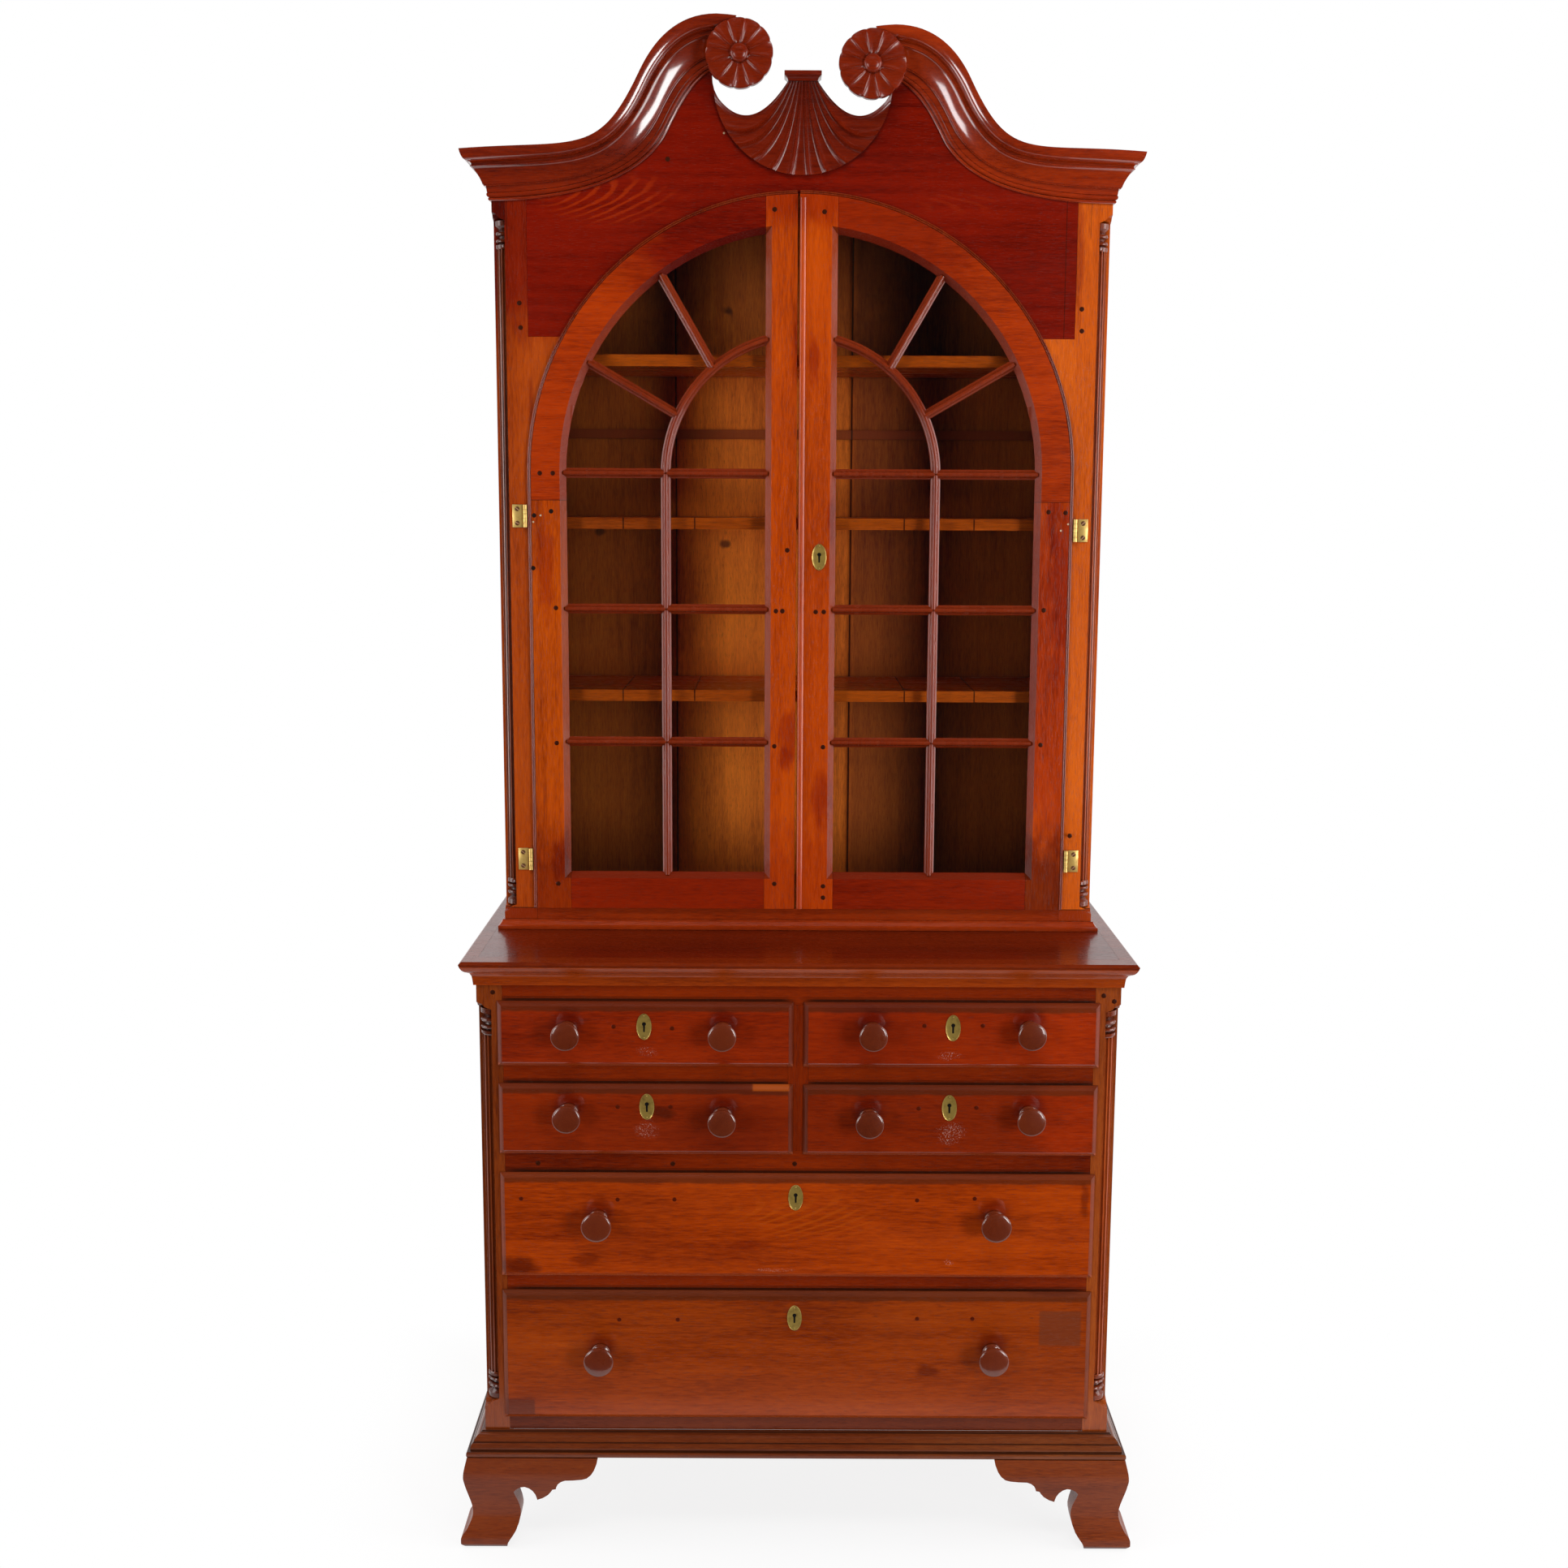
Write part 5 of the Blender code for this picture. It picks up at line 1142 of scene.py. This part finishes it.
frontMarks = {
    "top_drawer_left": [seenScuff(796, 1296, 0.018, 0.010, 0.4)],
    "top_drawer_right": [
        seenShade(1085, 1280, frontY, 0.14, 0.09, (0.74, 0.66, 1.0), 0.9, 0.5),
        seenShade(1320, 1275, frontY, 0.08, 0.09, (1.3, 1.35, 1.0), 0.9, 0.5),
        seenScuff(1168, 1300, 0.020, 0.010, 0.5),
    ],
    "second_drawer_left": [
        seenShade(900, 1385, frontY, 0.13, 0.09, (0.76, 0.70, 1.0), 0.9, 0.5),
        seenLine(950, 1340, frontY, 0.0285, 0.0060, 0.7, fromScreen(172, 78, 20)),
        seenScuff(796, 1392, 0.020, 0.016, 0.8),
        seenMark(818, 1372, frontY, 0.022, 0.016, fromScreen(46, 14, 4), 0.6),
    ],
    "second_drawer_right": [
        seenShade(1310, 1385, frontY, 0.10, 0.09, (1.5, 1.4, 1.0), 0.9, 0.5),
        seenScuff(1172, 1397, 0.026, 0.022, 0.75),
    ],
    "third_drawer": [
        seenScuff(952, 1565, 0.045, 0.004, 0.6),
        seenScuff(1168, 1556, 0.010, 0.006, 0.7),
        seenShade(638, 1560, frontY, 0.040, 0.022, (0.36, 0.28, 0.4), 1.0, 0.9),
        seenShade(722, 1552, frontY, 0.030, 0.012, (0.6, 0.5, 0.6), 0.8),
        seenShade(1336, 1480, frontY, 0.010, 0.035, (0.5, 0.4, 0.5), 0.8),
        seenShade(920, 1535, frontY, 0.040, 0.012, (0.7, 0.55, 0.6), 0.8),
        seenMark(990, 1500, frontY, 0.13, 0.045, fromScreen(176, 72, 6), 0.5, ragged=0.9,
                 ripple=(0.04, 0.008, -0.20, 10.0)),
    ],
    "bottom_drawer": [
        seenLine(641, 1734, frontY, 0.0235, 0.0130, 0.75, fromScreen(84, 32, 16)),
        seenLine(1306, 1637, frontY, 0.033, 0.0290, 0.75, fromScreen(106, 48, 25)),
        seenShade(1140, 1690, frontY, 0.026, 0.014, (0.5, 0.4, 0.5), 0.9),
        seenShade(1300, 1590, frontY, 0.060, 0.012, (0.7, 0.62, 0.7), 0.8),
    ],
}
lip = {"back": -0.2250, "faceY": frontY, "edge": 0.0011, "wide": 0.0066, "steep": 52.0, "shallow": 30.0,
       "fillet": 0.0007, "filletWide": 0.0003, "lap": 0.0068, "spread": 0.0025, "boardBack": -0.2105,
       "steps": 5}
knob = {
    "short": 0.0218, "long": 0.0234, "seenAtY": -0.2675, "steps": 48,
    # Radius and reach from the front; the head's radius is a share of the knob's
    "collar": ((0.0130, -0.0020), (0.0150, 0.0003), (0.0155, 0.0015), (0.0155, 0.0034), (0.0148, 0.0048),
               (0.0130, 0.0057)),
    "waist": ((0.0100, 0.0075), (0.0090, 0.0108), (0.0091, 0.0145), (0.0106, 0.0186)),
    "head": ((0.60, 0.0218), (0.80, 0.0248), (0.92, 0.0278), (0.98, 0.0306), (1.0, 0.0326), (0.995, 0.0342),
             (0.975, 0.0352), (0.935, 0.0359), (0.85, 0.0365), (0.66, 0.0372), (0.36, 0.0378), (0.0, 0.0379)),
    # Painted shadow above each knob, with old polish darkening the wood round it
    "shadowRise": 0.012, "shadowSize": (0.034, 0.030), "shadowTint": (0.42, 0.22, 0.4),
}


def knobSpots(name):
    return [seenAt(*spot, knob["seenAtY"]) for spot in fronts[name]["knobs"]]


def drawerFront(name):
    low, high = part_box(name + "_front")
    middle = (low + high) / 2
    wide, tall = high.x - low.x, high.z - low.z
    lap, back, spread, steps = (lip[key] for key in ("lap", "back", "spread", "steps"))
    depth = lip["boardBack"] - back
    item = block(name + "_lipped", (middle.x, back + depth / 2, middle.z),
                 (wide - 2 * lap, depth, tall - 2 * lap))
    bpy.ops.object.mode_set(mode="EDIT")
    pickFaces(item, lambda centre, normal: normal.y < -0.9)
    push((0.0, 0.0, 0.0))
    grow = ((wide + 2 * spread) / (wide - 2 * lap), 1.0, tall / (tall - 2 * lap))
    bpy.ops.transform.resize(value=grow, center_override=(middle.x, back, middle.z))
    push((0.0, -lip["edge"], 0.0))
    # A slightly rounded bevel, steep at the edge and easing towards the face
    slopes = [lip["steep"] + (lip["shallow"] - lip["steep"]) * (step + 0.5) / steps for step in range(steps)]
    rises = [math.tan(math.radians(slope)) for slope in slopes]
    room = back - lip["faceY"] - lip["edge"] - lip["fillet"]
    total = sum(rises)
    for rise in rises:
        bpy.ops.mesh.inset(thickness=lip["wide"] / steps, depth=rise * room / total, use_even_offset=True)
    bpy.ops.mesh.inset(thickness=lip["filletWide"], depth=lip["fillet"], use_even_offset=True)
    bpy.ops.object.mode_set(mode="OBJECT")
    setting = fronts[name]
    # Each knob's painted shadow: a darker tint just above and round it
    knobShadows = [markAt((x, z + knob["shadowRise"]), knob["shadowSize"], knob["shadowTint"], 0.8, tint=True, ragged=0.4)
             for x, z in knobSpots(name)]
    finish = wood(name + "_wood", tones[setting["tone"]], "x", 20.0 + 7.3 * len(name) + setting["plate"][0],
                  coat=coats[setting["tone"]], edges=(low.x - spread, high.x + spread, low.z, high.z),
                  marks=[*frontMarks[name], *knobShadows])
    finishPiece(item, name, finish, 30.0, (name + "_front",))


def fitKnobs():
    finish = wood("knob_wood", tones["knob"], "y", 33.0, contrast=0.7, gloss=0.3, coat=0.6, swells=0.05,
                  polish=1.8)
    for name in fronts:
        radius = knob["long"] if name in ("third_drawer", "bottom_drawer") else knob["short"]
        head = [(radius * share, reach) for share, reach in knob["head"]]
        profile = [*knob["collar"], *knob["waist"], *head]
        for word, (x, z) in zip(sides, knobSpots(name)):
            item = lathe(f"{name}_knob_{word}", profile, (x, lip["faceY"], z), forward, knob["steps"])
            finishPiece(item, name, finish, 40.0)


plate = {
    "wide": 0.0114, "tall": 0.0205, "thick": 0.0010, "dome": 0.0007, "corners": 56,
    "insets": ((0.0007, 0.45), (0.0018, 0.35), (0.003, 0.2)), "hole": 0.0031, "holeRise": 0.004,
    "slot": 0.0013, "drop": 0.0085, "mouth": 62.0, "pinRise": 0.0172, "pinY": 0.0009,
    "doorPlate": (0.0300, 1.5515), "cutFrom": 0.004, "cutDeep": 0.010,
    # Profiles as radius and reach: a near-black disc behind the hole, painted shade for its dark inside, and
    # a pin's head
    "holeShadeDisc": ((0.0096, 0.0), (0.0096, 0.0002), (0.0, 0.0003)), "holeShadeDrop": 0.002,
    "pin": ((0.0013, 0.0), (0.0013, 0.0003), (0.00091, 0.0007), (0.0, 0.0009)),
}


def keyholePlate(name):
    # Modelled once at the origin, facing forward
    clearAll()
    bpy.ops.mesh.primitive_circle_add(
        vertices=plate["corners"], radius=1.0, fill_type="NGON", rotation=(math.pi / 2, 0.0, 0.0))
    item = bpy.context.object
    item.name = item.data.name = name
    bpy.ops.object.transform_apply(location=True, rotation=True, scale=True)
    bpy.ops.object.mode_set(mode="EDIT")
    bpy.ops.mesh.select_all(action="SELECT")
    bpy.ops.transform.resize(value=(plate["wide"], 1.0, plate["tall"]), center_override=(0.0, 0.0, 0.0))
    push((0.0, -plate["thick"], 0.0))
    for inset, rise in plate["insets"]:
        bpy.ops.mesh.inset(thickness=inset, depth=-plate["dome"] * rise)
    closeUp()
    r, y, rise = plate["hole"], plate["cutFrom"], plate["holeRise"]
    mouth = math.radians(plate["mouth"])
    angles = [-math.pi + mouth / 2 + (2 * math.pi - mouth) * step / 18 for step in range(19)]
    ring = [(r * math.sin(angle), y, rise + r * math.cos(angle)) for angle in angles]
    ring += [(plate["slot"], y, -plate["drop"]), (-plate["slot"], y, -plate["drop"])]
    tool = trace("keyhole_tool", ring)
    push((0.0, -plate["cutDeep"], 0.0))
    closeUp()
    cut(item, tool)
    return item


def fitPlates():
    aged = brass("plate_brass", fromScreen(178, 148, 74), fromScreen(118, 90, 36), 0.28)
    dark = plainDark("keyhole_painted_shade", (0.004, 0.003, 0.002), 0.8)
    master = keyholePlate("keyhole_plate")
    spots = [(name, *setting["plate"], lip["faceY"]) for name, setting in fronts.items()]
    spots.append(("door_right", *plate["doorPlate"], door["faceY"]))
    for body, x, z, y in spots:
        item = copyOf(master, body + "_keyhole_plate", (x, y, z))
        finishPiece(item, body, aged, 40.0)
        # A near-black disc behind the keyhole, painted shade for the dark inside
        middle = (x, y, z - plate["holeShadeDrop"])
        holeShadeDisc = lathe(body + "_keyhole_back", plate["holeShadeDisc"], middle, forward, 24)
        finishPiece(holeShadeDisc, body, dark, 40.0)
        pins = [lathe("pin", plate["pin"], (x, y - plate["pinY"], z + side * plate["pinRise"]), forward, 14)
                for side in (1, -1)]
        finishPiece(joinAll(pins, body + "_plate_pins"), body, aged, 40.0)
    bpy.data.objects.remove(master, do_unlink=True)


# Hinges: a leaf with two slotted screws on the stile, and a barrel of knuckles at the door's edge
hinge = {"axisX": 0.4334, "axisY": -0.0240, "seam": 0.0042, "leaf": 0.0163, "leafThick": 0.0018,
         "height": 0.0356, "face": -0.0215, "radius": 0.0036, "knuckles": 5, "knuckleGap": 0.0003,
         "clear": 0.0001, "screw": 0.0038, "screwRise": 0.0112, "screwOut": 0.0128, "slotTurn": 38.0,
         "slotTurnMore": 8.0,
         # A screw's head in shares of its radius and reach, then the blocks that cut and line its slot:
         # length in radii, depth, height and step in y
         "head": ((1.0, -0.001), (1.0, 0.0001), (0.9, 0.0003), (0.4, 0.0005), (0.0, 0.0006)),
         "slotCut": (2.4, 0.0024, 0.0011, -0.0004), "slotMetal": (1.9, 0.0006, 0.0010, 0.00015)}


def buttHinge(node, side, z):
    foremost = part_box(node)[0].y
    height, gap, thick = hinge["height"], hinge["knuckleGap"], hinge["leafThick"]
    middleX = side * (hinge["axisX"] + hinge["seam"] + hinge["leaf"] / 2)
    leaf = block("leaf", (middleX, hinge["face"] + thick / 2, z), (hinge["leaf"], thick, height))
    soften(leaf, 0.0004)
    radius = min(hinge["radius"], hinge["axisY"] - foremost - hinge["clear"])
    parts = [leaf]
    for index in range(hinge["knuckles"]):
        start = -height / 2 + index * height / hinge["knuckles"] + gap / 2
        end = start + height / hinge["knuckles"] - gap
        profile = [(0.0, start), (radius * 0.9, start), (radius, start + gap), (radius, end - gap),
                   (radius * 0.9, end), (0.0, end)]
        centre = (side * hinge["axisX"], hinge["axisY"], z)
        parts.append(lathe("knuckle", profile, centre, (0.0, 0.0, 1.0), 20))
    return joinAll(parts, node + "_fine")


def slotBlock(kind, centre, turn):
    wide, deep, tall, step = hinge[kind]
    return block("slot", centre + Vector((0.0, step, 0.0)), (wide * hinge["screw"], deep, tall), turn)


def hingeScrews(node, side, z):
    # Two countersunk heads with a turned slot, and the bright metal in the slots
    heads, slots = [], []
    profile = [(hinge["screw"] * share, reach) for share, reach in hinge["head"]]
    for index, rise in enumerate((1, -1)):
        x = side * (hinge["axisX"] + hinge["screwOut"])
        centre = Vector((x, hinge["face"], z + rise * hinge["screwRise"]))
        head = lathe("screw", profile, centre, forward, 20)
        turn = math.radians(hinge["slotTurn"] + hinge["slotTurnMore"] * index * side) * -side
        cut(head, slotBlock("slotCut", centre, turn))
        heads.append(head)
        slots.append(slotBlock("slotMetal", centre, turn))
    return joinAll(heads, node + "_screws"), joinAll(slots, node + "_slots")


def fitHinges():
    bright = brass("hinge_brass", fromScreen(218, 182, 104), fromScreen(184, 146, 74), 0.3)
    dark = plainDark("screw_heads", fromScreen(92, 60, 36), 0.4)
    worn = brass("screw_slots", fromScreen(214, 166, 128), fromScreen(176, 124, 92), 0.4)
    for node in ("upper_hinge_left", "upper_hinge_right", "lower_hinge_left", "lower_hinge_right"):
        low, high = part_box(node)
        side, z = sideOf(node), (low.z + high.z) / 2
        finishPiece(buttHinge(node, side, z), "carcass", bright, 35.0, (node,))
        heads, slots = hingeScrews(node, side, z)
        finishPiece(heads, "carcass", dark, 35.0)
        finishPiece(slots, "carcass", worn, 35.0)


# Doors: each frame in four boards with their own grain, then its bars and glass
def frameCopy(node, side):
    # The frame with its moulding round the glass widened to a broader flat bevel
    item = nodeCopy(node, node + "_whole")
    wide, faceY, spring = door["sticking"], door["faceY"], door["spring"]
    outerX, innerX, sill = door["glassEdge"], door["opening"], door["sillTop"]
    flat, near, slack = 0.0002, 0.0006, 0.01
    for corner in item.data.vertices:
        x, y, z = side * corner.co.x, corner.co.y, corner.co.z
        rise = max(0.0, z - spring)
        reach = math.hypot(x, rise)
        onFace, onStep = abs(y - faceY) < flat, abs(y - (faceY + door["chamfer"])) < flat
        if not onFace and not onStep:
            continue
        grow = door["chamfer"] if onFace else 0.0
        nearEdge = abs(reach - outerX - grow) < near
        nearMeeting = abs(x - innerX + grow) < near and z > sill - 2 * slack and reach < outerX + slack
        nearSill = abs(z - sill + grow) < near and innerX - slack < x < outerX + slack
        if not (nearEdge or nearMeeting or nearSill):
            continue
        if onStep:
            corner.co.y = door["stickingY"]
            continue
        if nearEdge:
            scale = (outerX + wide) / reach
            x, z = (x * scale, spring + rise * scale) if rise else (outerX + wide, z)
        if nearMeeting:
            x = innerX - wide
            if nearEdge:
                z = spring + math.sqrt((outerX + wide) ** 2 - x * x)
        if nearSill:
            z = sill - wide
        corner.co.x, corner.co.z = side * x, z
    item.data.update()
    return item


def boardOf(whole, name, planes):
    # Cuts a copy of a door frame back to one board; each plane keeps the side its normal points from
    item = copyOf(whole, name)
    for place, way in planes:
        only(item)
        bpy.ops.object.mode_set(mode="EDIT")
        bpy.ops.mesh.select_all(action="SELECT")
        bpy.ops.mesh.bisect(plane_co=place, plane_no=way, use_fill=True, clear_outer=True, threshold=0.00001)
        bpy.ops.object.mode_set(mode="OBJECT")
    return item


# Glazing bars: a slim round nose between two hollows, swept straight, round the inner arch and out in rays
bar = {"section": ((0.0078, -0.0138), (0.0078, -0.0150), (0.0060, -0.0160), (0.0045, -0.0178),
                   (0.0036, -0.0200), (0.0032, -0.0216), (0.0024, -0.0229), (0.0012, -0.0235)),
       "middle": 0.2122, "lap": 0.004, "arcSteps": 28}


def spinRound(side, turn, steps):
    # Sweeps what is selected about the centre of the doors' arch
    bpy.ops.mesh.spin(steps=steps, angle=turn, center=(0.0, 0.0, door["spring"]), axis=(0.0, side, 0.0))


def barAlong(start, way, length, turn=0.0, side=1):
    # One bar from (x, z) along the direction (x, z), ending in a swing about the arch's centre if asked
    along = Vector((way[0], 0.0, way[1])).normalized()
    across = Vector((along.z, 0.0, -along.x))
    half = bar["section"]
    outline = [*half, *[(-u, y) for u, y in reversed(half)]]
    root = Vector((start[0], 0.0, start[1]))
    item = trace("bar", [root + across * u + Vector((0.0, y, 0.0)) for u, y in outline])
    push(along * length)
    if turn:
        spinRound(side, turn, bar["arcSteps"])
    closeUp(fineMerge)
    return item


def glazingBars(word, side):
    middle, lap, inner, outer = bar["middle"], bar["lap"], door["opening"], door["glassEdge"]
    sill, spring = door["sillTop"], door["spring"]
    top = math.acos((inner - lap) / middle)
    parts = [barAlong((side * middle, sill - lap), (0.0, 1.0), spring - sill + lap, top, side)]
    for step in (1, 2, 3):
        z = sill + (spring - sill) * step / 3
        parts.append(barAlong((side * (inner - lap), z), (side, 0.0), outer - inner + 2 * lap))
    for share in (1 / 3, 2 / 3):
        innerTurn, outerTurn = share * math.acos(inner / middle), share * math.acos(inner / outer)
        near = middle * Vector((math.cos(innerTurn), math.sin(innerTurn)))
        far = (outer + lap) * Vector((math.cos(outerTurn), math.sin(outerTurn)))
        way = far - near
        parts.append(barAlong((side * near.x, spring + near.y), (side * way.x, way.y), way.length))
    return joinAll(parts, "glazing_bars_" + word + "_moulded")


# The door's outer edge carries two fine beads, up the hinge side and round the arch
beads = {"reach": 0.4262, "bottom": 0.9839, "root": -0.0215, "half": 0.0027, "steps": 40,
         "rounds": ((-0.0013, -0.0250, 0.0014), (0.0014, -0.0245, 0.0013)), "left": 0.0071, "right": -0.0029}


def edgeBeads(word, side):
    outline = [(-beads["half"], beads["root"])]
    for middle, y, r in beads["rounds"]:
        angles = [math.pi * step / 8 for step in range(9)]
        outline += [(middle - r * math.cos(angle), y - r * math.sin(angle)) for angle in angles]
    outline.append((beads["half"], beads["root"]))
    line = [(side * (beads["reach"] + u), y, beads["bottom"]) for u, y in outline]
    item = trace(f"door_{word}_edge_beads", line)
    push((0.0, 0.0, door["spring"] - beads["bottom"]))
    spinRound(side, math.acos(beads[word] / beads["reach"]), beads["steps"])
    closeUp(fineMerge)
    return item


# How the doors have darkened: tints at the crown of the arch and along the stiles, and stains by their
# middle in the photograph with their half sizes
doorWear = {
    "joint": (640, 616),
    "left": {
        "crown": (905, 300), "crownTint": (0.52, 0.20, 0.5),
        "hinge_stile": {"foot": (0.55, 0.42, 0.4), "middle": (1.06, 1.25, 0.6)},
        "meeting_stile": {"foot": (0.78, 0.60, 0.5), "middle": (1.0, 0.98, 0.6)},
        "stains": ((975, 905, 0.030, 0.060), (968, 935, 0.016, 0.030), (672, 700, 0.020, 0.10),
                   (690, 1060, 0.018, 0.05), (985, 420, 0.014, 0.09))},
    "right": {
        "crown": (1070, 305), "crownTint": (0.68, 0.5, 0.8),
        "hinge_stile": {"foot": (0.42, 0.36, 0.4), "middle": (0.86, 0.62, 0.4)},
        "meeting_stile": {"foot": (0.86, 0.70, 0.5), "middle": (0.92, 0.84, 0.6)},
        "stains": ((1310, 720, 0.030, 0.20), (1296, 640, 0.012, 0.06), (1330, 950, 0.020, 0.10),
                   (1012, 985, 0.022, 0.06), (1003, 440, 0.012, 0.05), (1024, 640, 0.010, 0.05))},
    "stainTint": (0.66, 0.42, 0.6), "headTint": (0.70, 0.46, 0.5),
}


def doorMarks(word, board, inner, outer, joint):
    # Joint lines between the boards, and the doors' wear
    wear = doorWear[word]
    meeting = markAt((inner, 1.6), (0.0007, 0.9), kerf, 0.7, square=True)
    level = markAt((outer, joint), (0.2, 0.0006), kerf, 0.7, square=True)
    if board == "sill":
        return [meeting, markAt((outer, 1.0), (0.0007, 0.2), kerf, 0.7, square=True)]
    if board == "arch":
        crown = seenShade(*wear["crown"], door["faceY"], 0.24, 0.16, wear["crownTint"], ragged=0.5)
        return [meeting, level, crown]

    def band(z, tall, tone):
        return markAt((0.0, z), (5.0, tall), tone, tint=True, ragged=0.7)

    stains = [seenShade(across, down, door["faceY"], wide, tall, doorWear["stainTint"], 0.85, 1.1)
              for across, down, wide, tall in wear["stains"]]
    last = level if board == "hinge_stile" else band(2.11, 0.075, doorWear["headTint"])
    return [band(0.985, 0.17, wear[board]["foot"]), band(1.36, 0.42, wear[board]["middle"]), *stains, last]


def dressDoors():
    joint = seenAt(*doorWear["joint"], door["faceY"])[1]
    for word, side in sides.items():
        node, body = "door_frame_" + word, "door_" + word
        inner, outer = side * door["opening"], side * door["glassEdge"]
        whole = frameCopy(node, side)
        toGlass, toMeeting = ((inner, 0, 0), (-side, 0, 0)), ((inner, 0, 0), (side, 0, 0))
        boards = {
            "meeting_stile": ("doorStile", "z", [toMeeting]),
            "hinge_stile": ("doorStile", "z", [((outer, 0, 0), (-side, 0, 0)), ((0, 0, joint), (0, 0, 1))]),
            "arch": ("doorArch", "x", [toGlass, ((0, 0, joint), (0, 0, -1))]),
            "sill": ("doorSill", "x", [
                toGlass, ((outer, 0, 0), (side, 0, 0)), ((0, 0, door["aboveSill"]), (0, 0, 1))]),
        }
        for index, (board, (tone, grain, planes)) in enumerate(boards.items()):
            name = f"door_{word}_{board}"
            finish = wood(name + "_wood", tones[tone], grain, 80.0 + 5 * index + side, coat=usualCoat,
                          onDoor=True, marks=doorMarks(word, board, inner, outer, joint))
            stands = (node,) if index == 0 else ()
            finishPiece(boardOf(whole, name, planes), body, finish, 5.0, stands)
        bpy.data.objects.remove(whole, do_unlink=True)
        finish = wood(body + "_edge_beads_wood", tones["bars"], "z", 91.0 + side, gloss=0.24, coat=0.5,
                      swells=0.05, shadeInCorners=0.9)
        finishPiece(edgeBeads(word, side), body, finish, 30.0)
        bars = "glazing_bars_" + word
        finish = wood(bars + "_wood", tones["bars"], "z", 95.0 + side, contrast=0.6, coat=usualCoat,
                      swells=0.1, shadeInCorners=0.3)
        finishPiece(glazingBars(word, side), body, finish, 35.0, (bars,))
        dressNode("door_glass_" + word, paneGlass("pane_" + word))


# Pegs, plugs, holes and nails: the face they are in, their kind, and their spots in the photograph
doorY = door["faceY"]
pegs = {
    "carcass": [
        (caseY, "peg", ((639.8, 373.4), (641.4, 403.6), (1333, 381), (1333, 408), (822.6, 196))),
        (caseY, "nail", ((892, 164),)),
        (chestY, "peg", ((663, 1433), (829, 1434), (979, 1434), (1360, 1227), (1373, 1234), (607, 1222.6))),
    ],
    "door_left": [
        (doorY, "peg", ((956, 753), (964, 753), (954.5, 258), (665, 583), (681, 583), (685, 749), (970, 678),
                        (686, 915.5), (688, 1088.6), (954, 919.5), (954, 1089))),
        (doorY, "hole", ((658, 635), (679, 630), (657, 700))),
        (doorY, "nail", ((666, 635), (657, 643))),
    ],
    "door_right": [
        (doorY, "peg", ((1005, 754), (1015, 754), (1016, 261), (1292, 631), (1313, 632), (1286, 752),
                        (1014, 920.6), (1014, 1092), (1014, 1106), (1282, 918), (1318, 1030))),
        (doorY, "nail", ((1316, 646), (1307, 654))),
    ],
    "top_drawer_left": [(frontY, "plug", ((756, 1265), (828, 1267)))],
    "second_drawer_left": [(frontY, "plug", ((761, 1364), (826, 1364)))],
    "top_drawer_right": [(frontY, "plug", ((1139, 1264), (1211, 1264)))],
    "second_drawer_right": [(frontY, "plug", ((1132, 1366), (1203, 1365)))],
    "third_drawer": [(frontY, "plug", ((642, 1477), (761, 1478), (831, 1478), (1130, 1479), (1201, 1477)))],
    "bottom_drawer": [(frontY, "plug", ((763, 1626), (835, 1626), (1130, 1625), (1198, 1625)))],
}
# Radius, how far it stands out, and the slot of its finish
pegKinds = {"peg": (0.0037, 0.00035, "case_wood"), "plug": (0.0033, 0.00035, "case_wood"),
            "hole": (0.0036, 0.0001, "case_wood"), "nail": (0.0015, 0.00035, "brass")}
# How deep each is driven, then its end in shares of the radius and of how far it stands out
pegRoot, pegEnd = -0.0006, ((1.0, 0.4), (0.86, 0.9), (0.4, 1.0), (0.0, 1.0))


def drivePegs():
    looks = {"peg": plainDark("peg_end", tones["peg"], 0.35),
             "plug": plainDark("plug_end", fromScreen(76, 20, 4), 0.3),
             # An open hole is a dark disc, painted shade for its inside
             "hole": plainDark("hole_painted_shade", fromScreen(26, 10, 4), 0.7),
             "nail": brass("nail_head", fromScreen(214, 196, 160), fromScreen(150, 120, 80), 0.4)}
    for body, groups in pegs.items():
        for index, (y, kind, places) in enumerate(groups):
            r, stand, slot = pegKinds[kind]
            profile = [(r, pegRoot), *[(r * share, stand * rise) for share, rise in pegEnd]]
            made = []
            for across, down in places:
                x, z = seenAt(across, down, y)
                made.append(lathe("pin", profile, (x, y, z), forward, 18))
            finishPiece(joinAll(made, f"{body}_{kind}s_{index}"), body, looks[kind], 30.0)


dressBoards()
dressCurved()
fitBase()
fitCornices()
fitColumns()
fitCarving()
print("boards, mouldings and columns dressed")
for name in fronts:
    drawerFront(name)
fitKnobs()
fitPlates()
print("drawer fronts, knobs and plates made")
fitHinges()
dressDoors()
drivePegs()
print("doors, hinges and pegs made")

clearAll()
